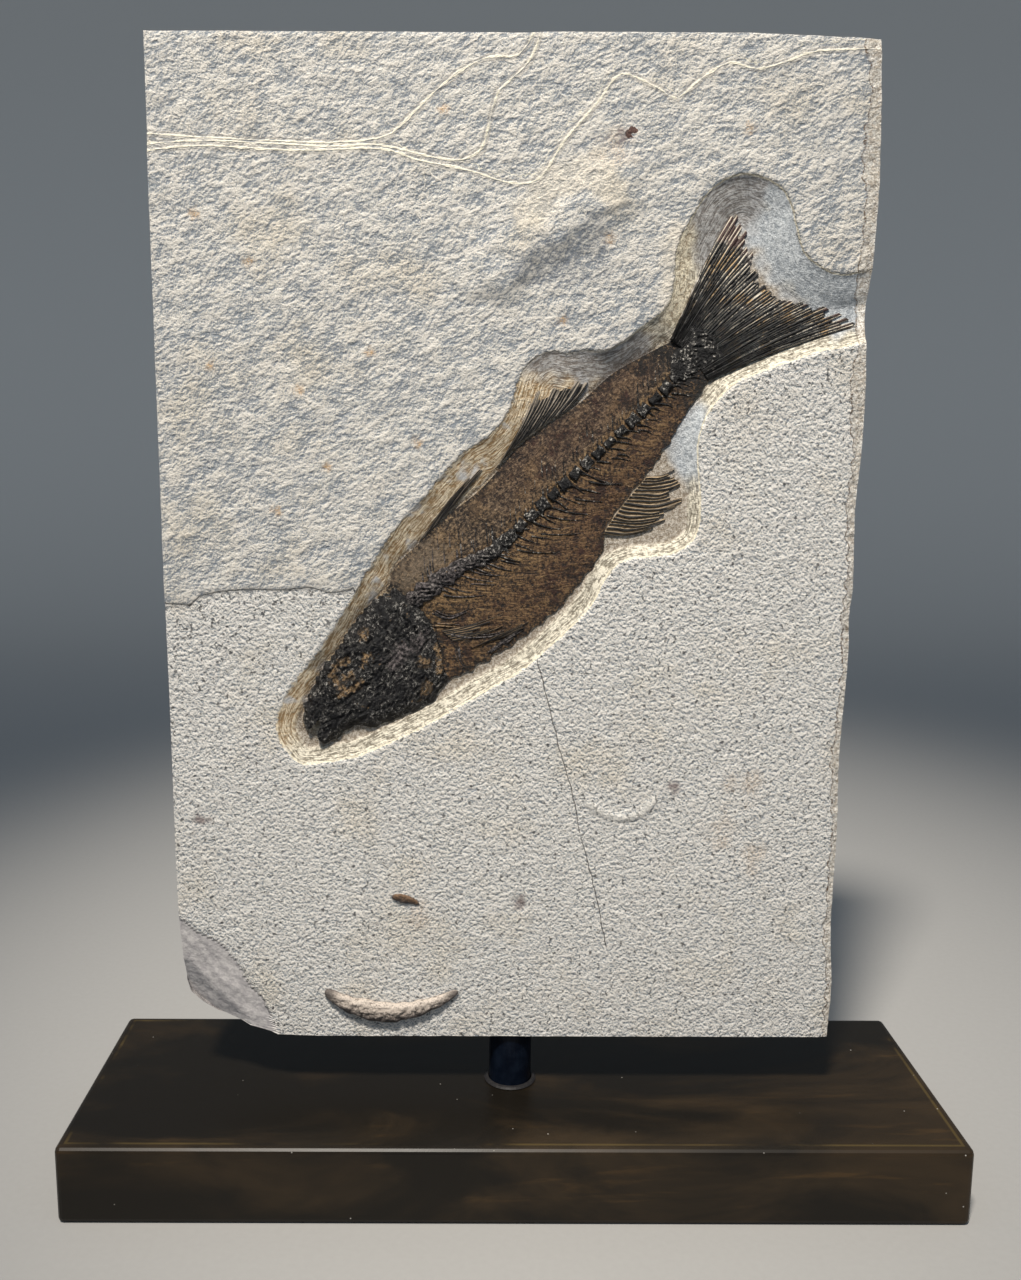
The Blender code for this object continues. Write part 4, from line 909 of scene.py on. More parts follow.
def post_finish():
    """Blued black steel bar with faint turning lines."""
    wires = Finish("Black steel bar", specular=0.22)
    place = wires.place()
    turning = wires.noise(wires.scaled(place, 0.05, 0.05, 1), 0.5 * MM, detail=3)
    cloud = wires.noise(place, 6 * MM, detail=4)
    dust = wires.group("Dust specks", vector=place, spacing=3.0)
    colour = wires.ramp(cloud, 0.4, 0.7, (0.0012, 0.003, 0.008), (0.005, 0.009, 0.018))
    return wires.coat(wires.lay(colour, (0.4, 0.4, 0.4), dust, 0.6), wires.sum("MULTIPLY_ADD", cloud, 0.25, 0.25),
                      wires.stack((turning, 0.03)))


def glue_finish():
    """Dried clear glue, slightly grey and dusty."""
    wires = Finish("Dried glue", specular=0.2)
    cloud = wires.noise(wires.place(), 1.2 * MM, detail=4)
    return wires.coat(wires.blend(cloud, (0.006, 0.006, 0.008), (0.030, 0.028, 0.028)),
                      wires.sum("MULTIPLY_ADD", cloud, 0.3, 0.4), wires.stack((cloud, 0.15)))


def floor_finish():
    """Plain pale paper, lighter and warmer in the backdrop."""
    wires = Finish("Pale studio paper", roughness=0.9)
    place = wires.place()
    near_by = wires.blend(wires.noise(place, 2 * MM, detail=3), (0.36, 0.355, 0.345), (0.39, 0.385, 0.375))
    return wires.coat(wires.ramp(wires.axes(place)["Y"], 1.5, 2.9, near_by, (0.84, 0.78, 0.70)))


# ---------------------------------------------------------------- the slab's relief

class Face:
    """The slab's dressed face, as levels and as values for its material, at arrays of points."""

    def __init__(self):
        self.brink = smoothed(from_fish(HOLLOW_BRINK), 2 * MM, closed=True)
        self.fish = smoothed(from_fish(self.fish_outline()), 2.5 * MM, closed=True)
        self.ledges = [smoothed(line, 3 * MM) for line in TOP_LEDGES]
        self.ridge = smoothed(RIDGE_LINE, 1.5 * MM)

    @staticmethod
    def fish_outline():
        """Round the head and body, without the fins."""
        return np.vstack((HEAD_CROWN[:-2], BACK_EDGE, BELLY_EDGE[::-1], HEAD_JAW[::-1]))

    def bed(self, points):
        """The level of the bedding plane that shows at each point."""
        over = above(points, BED_LEDGE)
        step = UPPER_BED - LOWER_BED
        level = LOWER_BED + step * (0.45 * ease(over, -0.2 * MM, LEDGE_RUN) + 0.55 * ease(over, -34 * MM, 0))
        for ledge in self.ledges:
            level = level - LEDGE_DROP * ease(above(points, ledge), -0.2 * MM, LEDGE_RUN)
        return level

    def lumps(self, points):
        """The mound, the dent and the small ridge."""
        dent = DENT_LEVEL * ease(1 - np.hypot(*(points - DENT_MIDDLE).T) / DENT_RADIUS)
        ridge = RIDGE_HEIGHT * ease(1 - distance(points, self.ridge) / RIDGE_HALF_WIDTH)
        ridge = ridge * (0.75 + 0.35 * noise(points / (2 * MM), 5))
        line = smoothed(MOUND_CREST, 3 * MM)
        over = above(points, np.vstack((MOUND_ENDS[:1], line, MOUND_ENDS[1:])))
        reach = MOUND_BELOW + (MOUND_ABOVE - MOUND_BELOW) * ease(over, -3 * MM, 3 * MM)
        reach = reach * (1 + 0.25 * noise(points / (9 * MM), 7))
        rise = ease(1 - distance(points, line) / reach) ** 1.1
        mound = MOUND_HEIGHT * rise * (0.9 + 0.30 * noise(points / (4.5 * MM), 6))
        return dent + ridge + mound

    def tooling(self, points):
        """The chisel's broad marks: coarse on the upper bed and fine on the lower."""
        coarse = 0.20 * noise(stretched(points, TOOL_ANGLE, 11 * MM, 6 * MM), 1)
        coarse += 0.17 * noise(stretched(points, TOOL_ANGLE, 5 * MM, 3 * MM), 2)
        fine = 0.08 * noise(points / (7 * MM), 3) + 0.09 * noise(points / (2.6 * MM), 4)
        return MM * (fine + (coarse - fine) * ease(above(points, BED_LEDGE), 0, 1 * MM))

    def chip(self, points):
        """The broken corner: a rough strip and two facets that fall away from its brink."""
        strip, first, second = (is_inside(points, np.vstack((line, CHIP_CORNER)))
                                for line in (CHIP_STRIP, CHIP_BRINK, CHIP_FACET))
        down = distance(points, CHIP_BRINK)
        level = LOWER_BED - 0.10 * distance(points, CHIP_STRIP) - 0.12 * down * first
        level = level - 0.34 * distance(points, CHIP_FACET) * second
        level = level + 0.25 * MM * noise(stretched(points, -0.9, 9 * MM, 2.5 * MM), 8) * ease(down, 0, 3 * MM)
        return np.where(strip, level, 1.0), first

    def past_brink(self, points):
        """How far past the brink of the broken right edge each point is."""
        brink = np.interp(points[:, 1], *smoothed(BROKEN_BRINK, 5 * MM)[:, ::-1].T)
        return points[:, 0] - brink + 0.9 * MM * noise(points / (2.5 * MM), 9)

    def hollow(self, points):
        """How far down the hollow's wall each point is, from 0 at the brink to 1 at its foot, how far inside the
        brink it is, how much it is on the fish's back side, and how far it is from the body."""
        inside = depth_inside(points, self.brink)
        on_body = is_inside(points, self.fish)
        to_body = np.where(on_body, 0, distance(points, self.fish, closed=True))
        run, across = to_fish(points).T
        back_side = ease(across - np.interp(run, PARTING_RUN, PARTING_HEIGHT), -5 * MM, 5 * MM)
        gentle, steep = np.interp(run, *WALL_REACH_BACK.T), np.interp(run, *WALL_REACH_BELLY.T)
        reach = np.minimum(steep + (gentle - steep) * back_side, inside + to_body)
        share = np.where(on_body, 1.0, np.clip(inside / np.maximum(reach, 0.1 * MM), 0, 1))
        return np.where(inside <= 0, 0.0, share), inside, back_side, to_body

    def level(self, points):
        level = self.bed(points) + self.lumps(points) + self.tooling(points)
        beyond = np.maximum(self.past_brink(points), 0)
        level = level - 0.22 * beyond + 0.30 * MM * (beyond > 0) * noise(points / (2.4 * MM), 15)
        level = np.minimum(level, self.chip(points)[0])
        share, inside, back_side, _ = self.hollow(points)
        lip = (0.25 - 0.17 * back_side) * ease(inside, 0, 1.1 * MM)
        floor = HOLLOW_FLOOR - TAIL_DEEPENING * ease(to_fish(points)[:, 0], 135 * MM, 165 * MM)
        floor = floor + 0.05 * MM * noise(points / (3 * MM), 10)
        scored = 0.06 * MM * noise(points / (2.2 * MM), 16) * np.sin(math.pi * share)
        return level + (floor - level) * (lip + (0.75 + 0.17 * back_side) * share) + scored

    def chamfer(self, points):
        """How much the sawn left and top edges are rubbed down."""
        left = points[:, 0] - LEFT_EDGE[-1, 0]
        top = np.interp(points[:, 0], *TOP_EDGE.T) - points[:, 1]
        return 0.45 * MM * np.clip(1 - np.minimum(left, top) / (0.7 * MM), 0, 1)

    def keep_values(self, mesh):
        """Stores what the limestone's finish reads. Distances are in millimetres."""
        spots = corners(mesh)
        points, front = spots[:, (0, 2)], spots[:, 1] < -2 * MM
        share, inside, back_side, to_body = self.hollow(points)
        tan = back_side * ease(to_fish(points)[:, 0], 152 * MM, 128 * MM)
        store(mesh, "beds", above(points, BED_LEDGE) / MM, np.where(front, inside / MM, -9), tan)
        store(mesh, "ledges", *(np.where(front, above(points, ledge) / MM, 9) for ledge in self.ledges))
        across_crack = points[:, 0] - np.interp(points[:, 1], CRACK[::-1, 1], CRACK[::-1, 0])
        beside = (points[:, 1] > CRACK[0, 1]) | (points[:, 1] < CRACK[-1, 1]) | ~front
        broken = self.chip(points)[1] & (spots[:, 1] < 4 * MM)
        store(mesh, "marks", np.where(beside, 9.0, across_crack / MM), broken, self.past_brink(points) / MM)
        iron = self.spots(points, IRON_SPECKS, 2.0 * MM, 12)
        brown = 0.32 * self.spots(points, BROWN_STAINS, 7 * MM, 13)
        film = ease(1 - to_body / (3.2 * MM)) * (inside > 0) * (0.45 + 0.4 * back_side)
        store(mesh, "stains", np.maximum(iron, brown), film, self.spots(points, MAUVE_SPOTS, 3.0 * MM, 14))
        wide = 1 + 0.4 * noise(points / (4 * MM), 17)
        # A painted blue-grey shade, a mauve tint, and a cream tint that on the mound's crest is also a painted
        # highlight
        store(mesh, "painted_shade_highlight_and_tints", *(ease(1 - np.min([distance(points, line) for line in lines], axis=0) / (reach * wide),
                                    0.0, 0.55)
                               for lines, reach in ((BLUE_SHADE_LINES, 9 * MM), (MAUVE_LINES, 8.5 * MM),
                                                    (CREAM_AND_HIGHLIGHT_LINES, 6 * MM))))
        ragged = (points[:, 0] > 88 * MM) & (spots[:, 1] < 6 * MM)
        store(mesh, "sides", ~front & ~ragged & ~broken, ease(share, 0.86, 1.0) * (to_body > 0))
        # The mound's painted shade, and the small ridge's painted highlight
        store(mesh, "painted_shade_and_highlight", patch(points, MOUND_SHADE, 18) * front,
              ease(1 - distance(points, self.ridge) / (1.3 * MM)) * front)

    @staticmethod
    def spots(points, middles, radius, seed):
        """Soft uneven spots round some middles."""
        nearest = np.min([np.hypot(*(points - middle).T) for middle in middles], axis=0)
        return ease(1 - nearest / radius + 0.6 * noise(points / (0.6 * radius), seed))


# ---------------------------------------------------------------- the fish's relief

def near(points, lines, reach, seed):
    """1 on any of some lines and 0 from an uneven reach away from them."""
    away = np.min([distance(points, line) for line in lines], axis=0) / reach
    return ease(1 - away + 0.9 * noise(points / (1.1 * MM), seed)) * (away < 1.6)


def patch(points, outline, seed, margin=0.0):
    """1 inside an outline, or within a margin of it, and 0 outside, with an uneven soft edge."""
    return ease((depth_inside(points, outline) + margin) / (1.6 * MM) + 0.5 + 0.7 * noise(points / (1.8 * MM), seed))


def flank_outline():
    return smoothed(from_fish(np.vstack((BACK_EDGE, BELLY_EDGE[::-1], GILL_EDGE[1:-1]))), 3 * MM, closed=True)


def flank_level(points):
    """The skin swells gently from its rim to the middle of the body."""
    inside = np.maximum(depth_inside(points, flank_outline()), 0)
    return HOLLOW_FLOOR + 0.35 * MM + 1.35 * MM * rounded(inside, 15 * MM)


def over_spine(fish):
    """How far over the spine each point on the fish is, in millimetres; negative under it."""
    return (fish[:, 1] - np.interp(fish[:, 0], *SPINE_LINE.T)) / MM


def rib_lean(height):
    """How far back a rib or spine has swept where it is some height over the spine. All in millimetres."""
    down = np.maximum(-height, 0)
    return 0.060 * np.minimum(down, 13) ** 2 + 1.3 * np.maximum(down - 13, 0) + 0.85 * np.maximum(height, 0)


def rib_row(fish):
    """A value that is the same all along a rib, for points on the fish."""
    return fish[:, 0] / MM - rib_lean(over_spine(fish))


def fan(node, roots, tips, rays, bow, floor, height, finish, rows=40, ragged=0.10, detail=6, worn=None):
    """A fin in the place of its node: rays from a root line to a tip line, as one ribbed sheet. The lines are on the
    fish. detail is the columns of faces to a ray."""
    roots, tips = smoothed(roots, 1.5 * MM), smoothed(tips, 1.5 * MM)
    reach = 1 - ragged * np.random.RandomState(rays).rand(rays + 1)
    luck = np.random.RandomState(rays + 1).rand(rays + 1)
    values = {}

    def place(u, v):
        index = np.clip(np.round(u * rays).astype(int), 0, rays)
        root, tip = along(roots, u), along(tips, u)
        run = tip - root
        share = v * reach[index]
        fish = root + run * share[:, None] + square_to(run) * (bow * np.sin(math.pi * share))[:, None]
        points = from_fish(fish)
        lane = u * rays + 0.5 * noise(np.column_stack((u * rays * 0.55, v * 1.6 + rays)), rays)
        ridge = np.abs(np.cos(math.pi * lane))
        crumbs = crags(points / (1.1 * MM), rays)
        sides = ease(np.minimum(u, 1 - u) * rays, 0.0, 0.8)
        level = floor(points) + height * (0.14 + (0.62 * ridge + 0.24 * crumbs) * sides) * (1 - 0.6 * share ** 2)
        values["fin"] = ridge, share, luck[index]
        values["fan"] = (lane,)
        if worn:
            values["worn"] = worn(fish)
        return points, level

    piece = relief(node + "_rays", detail * rays, rows, place, [HOLLOW_FLOOR - TAIL_DEEPENING - 0.5 * MM],
                   smooth_angle=80)
    for key, kept in values.items():
        store(piece.data, key, *kept)
    settle(piece, node, finish)


def pod(name, node, line, half_width, height, seat_level, finish):
    """A small lumpy fossil lying on the slab's face."""
    line = smoothed(line, 1 * MM)
    values = {}

    def place(u, v):
        middle = along(line, u)
        ahead, behind = along(line, np.minimum(u + 0.01, 1)), along(line, np.maximum(u - 0.01, 0))
        run = (ahead - behind) / np.hypot(*(ahead - behind).T)[:, None]
        swell = 0.12 + 0.88 * np.sin(math.pi * np.clip(u, 0, 1) ** 0.82) ** 0.7
        edge = 1 + 0.22 * noise(np.column_stack((u * 13, np.round(v) * 3 + 0.5)), 21)
        points = middle + square_to(run) * ((2 * v - 1) * half_width * swell * edge)[:, None]
        dome = arch(v) * swell
        lumps = 0.26 * noise(points / (1.6 * MM), 22) + 0.16 * noise(points / (0.7 * MM), 23)
        values["fin"] = v, u
        return points, seat_level + height * (0.18 + dome * (0.82 + lumps))

    piece = relief(name, 120, 30, place, [seat_level - 0.3 * MM])
    store(piece.data, "fin", *values["fin"])
    settle(piece, node, finish)


# ---------------------------------------------------------------- what a user can change

def colour_choice(name, description, *colour):
    return FloatVectorProperty(name=name, description=description, default=colour, subtype="COLOR", min=0, max=1)


class StoneLook(bpy.types.PropertyGroup):
    columns: IntProperty(name="Columns", description="Faces across the dressed face", default=252, min=40)
    rows: IntProperty(name="Rows", description="Faces up the dressed face", default=368, min=60)
    chisel_depth: FloatProperty(name="Chisel depth", description="Height of the chisel's marks on the upper bed",
                                default=1.4 * MM, unit="LENGTH", precision=5)
    stipple_depth: FloatProperty(name="Stipple depth", description="Height of the fine marks on the lower bed",
                                 default=1.4 * MM, unit="LENGTH", precision=5)
    stone_colour: colour_choice("Stone", "Pale colour of the chiselled limestone", 0.90, 0.865, 0.80)
    # The stone shade is painted shade, laid on the chiselled stone's low places and down-facing slopes
    stone_shade: colour_choice("Stone shade", "Grey of the chiselled stone's low places", 0.31, 0.35, 0.40)
    lower_bed_colour: colour_choice("Lower bed", "Pale colour of the pitted lower bed", 0.96, 0.93, 0.88)
    # The lower bed shade is painted shade, laid on the granules' low places and down-facing slopes
    lower_bed_shade: colour_choice("Lower bed shade", "Grey of the pitted lower bed", 0.34, 0.38, 0.42)


class FishLook(bpy.types.PropertyGroup):
    skin_colour: colour_choice("Skin", "Brown of the fossil skin", 0.215, 0.130, 0.062)
    skin_shade: colour_choice("Skin shade", "Dark brown between the skin's lines", 0.034, 0.020, 0.011)
    vertebrae: IntProperty(name="Vertebrae", description="Vertebrae that show behind the crushed front of the spine",
                           default=18, min=4)
    tail_rays: IntProperty(name="Tail rays", description="Rays in the tail fin", default=46, min=10)


class StandLook(bpy.types.PropertyGroup):
    patina_dark: colour_choice("Patina", "Near-black of the waxed steel", 0.0085, 0.0068, 0.0048)
    patina_brown: colour_choice("Patina brown", "Brown clouds in the patina", 0.036, 0.0235, 0.012)
    key_power: FloatProperty(name="Key light", description="Power of the main light", default=124.0, unit="POWER")
    sky_strength: FloatProperty(name="Fill light", description="Strength of the light from all round", default=0.29)


# ---------------------------------------------------------------- operators

class FOSSIL_OT_finishes(bpy.types.Operator):
    """Build the shader node groups that the finishes share"""
    bl_idname = "fossil.finishes"
    bl_label = "Shared Finishes"

    def execute(self, context):
        make_stone_grain()
        make_streaks()
        make_fossil_mottle()
        make_dust()
        return {"FINISHED"}


class FOSSIL_OT_slab(bpy.types.Operator):
    """Model the limestone slab with its beds, hollow, broken corner and broken edge"""
    bl_idname = "fossil.slab"
    bl_label = "Limestone Slab"

    def execute(self, context):
        face = Face()
        look = context.scene.fossil_stone

        def place(u, v):
            low, high = NEAR.z, np.interp(LEFT_EDGE[-1, 0] + u * (FAR.x - NEAR.x), *TOP_EDGE.T)
            z = low + (high - low) * v
            left = np.interp(z, LEFT_EDGE[:, 1], LEFT_EDGE[:, 0])
            right = np.interp(z, *smoothed(BROKEN_EDGE, 6 * MM)[:, ::-1].T)
            points = np.column_stack((left + (right - left) * u, z))
            return points, face.level(points) - face.chamfer(points)

        levels = (2.5 * MM, -1 * MM, -5 * MM, BACK_LEVEL)
        slab = relief("limestone_slab", look.columns, look.rows, place, levels)
        self.roughen_edge(slab.data)
        self.drill(slab)
        face.keep_values(slab.data)
        settle(slab, "slab", limestone_finish())
        return {"FINISHED"}

    @staticmethod
    def roughen_edge(mesh):
        """Breaks up the right-hand side between the face and the back."""
        spots = corners(mesh)
        on_side = (spots[:, 0] > 91 * MM) & (spots[:, 1] > -4 * MM) & (spots[:, 1] < -BACK_LEVEL - 0.1 * MM)
        bite = 0.5 + 0.5 * noise(spots[:, 1:] / (5 * MM), 31)
        spots[:, 0] -= on_side * 0.7 * MM * bite
        set_corners(mesh, spots)

    @staticmethod
    def drill(slab):
        """The hole for the post's pin."""
        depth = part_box("post")[1].z - NEAR.z + 0.3 * MM
        select_only()
        bpy.ops.mesh.primitive_cylinder_add(vertices=48, radius=PIN_HOLE_RADIUS, depth=2 * depth,
                                            location=(0, 0, NEAR.z))
        cutter = bpy.context.object
        select_only(slab)
        apply_modifier(slab, "BOOLEAN", object=cutter, solver="EXACT")
        bpy.data.objects.remove(cutter)


class FOSSIL_OT_skin(bpy.types.Operator):
    """Model the brown skin of the fish's body"""
    bl_idname = "fossil.skin"
    bl_label = "Body Skin"

    def execute(self, context):
        back, belly = smoothed(BACK_EDGE, 2 * MM), smoothed(BELLY_EDGE, 2 * MM)
        gill = smoothed(GILL_EDGE, 2 * MM)

        def place(u, v):
            start = along(gill, v)[:, 0] - 1.5 * MM
            run = start + (SKIN_END - start) * u
            low, high = np.interp(run, *belly.T), np.interp(run, *back.T)
            low = low + 0.8 * MM * wander(run, 0, 2.6 * MM, 41)
            fish = np.column_stack((run, low + (high - low) * v))
            points = from_fish(fish)
            level = flank_level(points) + 0.12 * MM * noise(points / (3.5 * MM), 42)
            rows = rib_row(fish)
            level = level + 0.12 * MM * noise(np.column_stack((rows / 1.6, fish[:, 1] / (9 * MM))), 43)
            return points, level + 0.08 * MM * noise(points / (1.2 * MM), 44)

        skin = relief("body_skin", 280, 104, place, [SEAT])
        spots = corners(skin.data)[:, (0, 2)]
        fish = to_fish(spots)
        height = over_spine(fish)
        rim = ease(1 - np.abs(depth_inside(spots, flank_outline())) / (2.0 * MM))
        rear = ease(fish[:, 0], 70 * MM, 100 * MM)
        maroon = np.clip(0.75 * ease(-height, 7, 17) + 0.75 * rear * ease(np.abs(height), 1, 5), 0, 1)
        nape = near(fish, [SKIN_TAN_LINE], 7 * MM, 45)
        store(skin.data, "fish", rib_row(fish), height, rim)
        store(skin.data, "body", fish[:, 0] / (100 * MM), nape, maroon)
        store(skin.data, "dark", np.maximum(0.85 * near(fish, GIRDLE_BONES + PELVIC_BONES, 2.6 * MM, 46),
                                            near(fish, [GILL_EDGE], 2 * MM, 47)))
        settle(skin, "flank", skin_finish())
        return {"FINISHED"}


class FOSSIL_OT_skull(bpy.types.Operator):
    """Model the crushed skull with its eye, cheek and jaws"""
    bl_idname = "fossil.skull"
    bl_label = "Skull"

    def execute(self, context):
        crown, jaw = smoothed(HEAD_CROWN, 1 * MM), smoothed(HEAD_JAW, 2 * MM)
        gill = smoothed(GILL_EDGE, 2 * MM)

        def place(u, v):
            end = along(gill, v)[:, 0] + 0.6 * MM
            start = 0.2 * MM + 4.2 * MM * np.exp(-((v - 0.52) / 0.10) ** 2)
            run = start + (end - start) * u
            low = np.interp(run, *jaw.T) + 0.7 * MM * wander(run, 7, 3 * MM, 51)
            high = np.interp(run, *crown.T) + 0.9 * MM * wander(run, 4, 1.6 * MM, 52)
            fish = np.column_stack((run, low + (high - low) * v))
            return from_fish(fish), self.level(fish, u, v)

        skull = relief("skull_bones", 200, 150, place, [SEAT], smooth_angle=70)
        fish = to_fish(corners(skull.data)[:, (0, 2)])
        tan = np.maximum(near(fish, SKULL_TAN_LINES, 1.3 * MM, 56), near(fish, SKULL_TAN_SPOTS, 1.7 * MM, 57))
        store(skull.data, "head", tan, near(fish, SKULL_CREASES, 1.1 * MM, 59),
              near(fish, [SKULL_PURPLE], 3.4 * MM, 58))
        settle(skull, "skull", bone_finish("Skull bone", 0.08, 0.32, "head"))
        return {"FINISHED"}

    @staticmethod
    def level(fish, u, v):
        """A crushed dome: sunken eye in a raised ring, cheek and gill-cover ridges, torn bone all over."""
        rim = np.minimum(np.minimum(v, 1 - v) * 26 * MM, (1 - u) * 60 * MM)
        dome = rounded(rim, 6 * MM)
        level = HOLLOW_FLOOR + 0.4 * MM + 1.5 * MM * dome
        eye = np.hypot((fish[:, 0] - EYE_MIDDLE[0]) / EYE_LENGTH, (fish[:, 1] - EYE_MIDDLE[1]) / EYE_HEIGHT)
        level = level + 0.5 * MM * np.exp(-((eye - 1.15) / 0.24) ** 2) - 0.8 * MM * np.exp(-(eye / 0.75) ** 2)
        level = level - 0.28 * MM * near(fish, SKULL_CREASES, 0.8 * MM, 59)
        level = level + 0.35 * MM * near(fish, SKULL_RIDGES, 1.0 * MM, 60)
        torn = 0.70 * crags(stretched(fish, 0.25, 4.2 * MM, 1.5 * MM), 53)
        torn += 0.18 * crags(stretched(fish, -0.5, 1.6 * MM, 0.8 * MM), 54) + 0.12 * noise(fish / (0.5 * MM), 55)
        return level + MM * (torn - 0.35) * np.clip(dome + 0.3, 0, 1)


class FOSSIL_OT_backbone(bpy.types.Operator):
    """Model the vertebrae, the spines above and below them, and the ribs"""
    bl_idname = "fossil.backbone"
    bl_label = "Backbone"

    def execute(self, context):
        count = context.scene.fossil_fish.vertebrae
        line = smoothed(SPINE_LINE, 1 * MM)
        runs = FRONT_VERTEBRA + (LAST_VERTEBRA - FRONT_VERTEBRA) * (np.arange(count) + 0.3) / count
        places = np.column_stack((runs, np.interp(runs, *line.T) - 0.4 * MM))
        chance = np.random.RandomState(61)
        model = self.vertebra()
        copies = [self.crushed("crushed_vertebrae", *CRUSHED_FRONT, (3.1, 1.6), 1.0, 150, 30),
                  self.crushed("crushed_tail_root", *CRUSHED_REAR, (2.8, 6.6), 0.8, 80, 60)]
        for i, middle in enumerate(places):
            girth = (1.9 - 0.5 * i / count) * (0.75 + 0.5 * chance.rand())
            copies.append(self.copy_of(model, middle, girth, chance))
        bpy.data.objects.remove(model)
        lines, radii = self.ribs_and_spines(chance)
        copies.append(strands("ribs_and_spines", lines, radii, 1))
        backbone = joined("spine_and_ribs", copies)
        fish = to_fish(corners(backbone.data)[:, (0, 2)])
        gilt = near(fish, GIRDLE_GOLD, 0.9 * MM, 66)
        store(backbone.data, "spine", gilt, np.zeros(len(fish)), ease(fish[:, 0], 80 * MM, 60 * MM) * 0.7)
        settle(backbone, "backbone", bone_finish("Backbone bone", 0.06, 0.16, "spine", specks=0.085))
        return {"FINISHED"}

    @staticmethod
    def crushed(name, first, last, halves, height, columns, rows):
        """A crushed stretch of the spine, where the vertebrae can't be told apart."""
        middle = smoothed(SPINE_LINE, 1 * MM)

        def place(u, v):
            run = (first + (last - first) * u) * MM
            half = (halves[0] + (halves[1] - halves[0]) * u) * MM
            half = half + 1.1 * MM * wander(run, np.sign(v - 0.5) * 2 + 9, 2.4 * MM, 62)
            half = half * np.clip(np.minimum((1 - u) * 6, 0.3 + u * 6), 0.15, 1)
            sag = 0.04 * np.maximum(CRUSHED_FRONT[1] * MM - run, 0)
            fish = np.column_stack((run, np.interp(run, *middle.T) - sag + (2 * v - 1) * half))
            points = from_fish(fish)
            hump = arch(v) * np.clip(np.minimum(u, 1 - u) * 12, 0.2, 1)
            torn = 0.80 * crags(stretched(fish, 0.9, 1.2 * MM, 2.8 * MM), 63) + 0.35 * crags(fish / (0.9 * MM), 64)
            return points, flank_level(points) + MM * (height * hump * (0.15 + torn) - 0.10)

        return relief(name, columns, rows, place, [SEAT], smooth_angle=70)

    @staticmethod
    def vertebra():
        """One vertebra along X: a drum with a narrow waist and rough faces."""
        select_only()
        bpy.ops.mesh.primitive_cylinder_add(vertices=12, radius=1.0, depth=2.0, rotation=(0, math.pi / 2, 0))
        model = bpy.context.object
        bpy.ops.object.transform_apply(location=True, rotation=True, scale=True)
        bpy.ops.object.mode_set(mode="EDIT")
        for cut in (-0.7, -0.25, 0.25, 0.7):
            bpy.ops.mesh.select_all(action="SELECT")
            bpy.ops.mesh.bisect(plane_co=(cut, 0, 0), plane_no=(1, 0, 0))
        bpy.ops.mesh.select_all(action="DESELECT")
        bpy.ops.object.mode_set(mode="OBJECT")
        spots = corners(model.data)
        spots[:, 1:] *= 1 - 0.30 * np.exp(-(spots[:, :1] / 0.45) ** 2)
        set_corners(model.data, spots)
        return model

    @staticmethod
    def copy_of(model, middle, girth, chance):
        """The vertebra at its place on the spine, turned along it and roughened."""
        place = from_fish(middle[None])
        level = flank_level(place)[0] + 0.10 * MM
        twist = FISH_ANGLE + 0.35 * (chance.rand() - 0.5)
        turn = Matrix.Translation((place[0, 0], -level, place[0, 1])) @ Euler((0, -twist, 0)).to_matrix().to_4x4()
        turn = turn @ Matrix.Diagonal((1.75 * MM, 0.75 * MM, 1.0 * MM * girth, 1))
        turn = turn @ Euler((math.tau * chance.rand(), 0, 0)).to_matrix().to_4x4()
        copy = bpy.data.objects.new("vertebra", model.data.copy())
        spots = corners(copy.data)
        spots *= 1 + 0.5 * (chance.rand(len(spots), 1) - 0.5)
        set_corners(copy.data, spots)
        copy.data.transform(turn)
        bpy.context.scene.collection.objects.link(copy)
        select_only(copy)
        apply_modifier(copy, "SUBSURF", levels=1, render_levels=1)
        bpy.ops.object.shade_smooth()
        return copy

    @staticmethod
    def ribs_and_spines(chance):
        """Lines of places for the ribs below the spine, the thin spines above and below it and the bones behind
        the gill, with their radii."""
        lines, radii = [], []

        def lay(fish, radius, proud):
            inside = (fish[:, 1] > np.interp(fish[:, 0], *BELLY_EDGE.T) + 1.2 * MM)
            inside &= (fish[:, 1] < np.interp(fish[:, 0], *BACK_EDGE.T) - 0.8 * MM)
            fish = fish[inside]
            if len(fish) < 4:
                return
            points = from_fish(fish)
            level = flank_level(points) + proud * MM
            lines.append(np.column_stack((points[:, 0], -level, points[:, 1])))
            radii.append(radius * MM)

        steps = np.linspace(0, 1, 14)
        for run in np.arange(52, 146, 1.9) + 1.6 * chance.rand(50):
            middle = np.interp(run * MM, *SPINE_LINE.T) / MM
            ribbed = run < 106
            wave = 0.35 * np.sin((2 + 3 * chance.rand()) * steps)
            down = (0.5 * chance.rand() ** 2 + (0.3 + 0.3 * chance.rand()) * steps) * (14.5 if ribbed else 7.5)
            back = rib_lean(-down) if ribbed else 0.75 * down
            lay(np.column_stack((run + back + wave, middle - 0.8 - down)) * MM, 0.17 + 0.15 * chance.rand(), 0.08)
            up = (0.6 * chance.rand() + (0.15 + 0.35 * chance.rand()) * steps) * (10.5 - 0.05 * (run - 50))
            lay(np.column_stack((run + 0.85 * up, middle + 0.6 + up + 0.4 * wave)) * MM,
                0.10 + 0.10 * chance.rand(), 0.01)
            for rise in (1, -1):
                spike = steps * (0.8 + 2.0 * chance.rand())
                if chance.rand() < (0.4 if run > 76 else 0.7):
                    spike = spike * (1.0 if run > 76 else 1.4)
                    lay(np.column_stack((run + 0.8 * spike, middle + rise * ((0.7 if run > 76 else 1.7) + spike))) * MM,
                        0.18 + 0.26 * chance.rand(), 0.02)
        for bone in GIRDLE_BONES + GIRDLE_GOLD + PELVIC_BONES:
            for beside, radius, proud in (((0, 0), 0.30, 0.10), ((0.7, 0.3), 0.16, 0.08), ((-0.6, 0.5), 0.14, 0.08)):
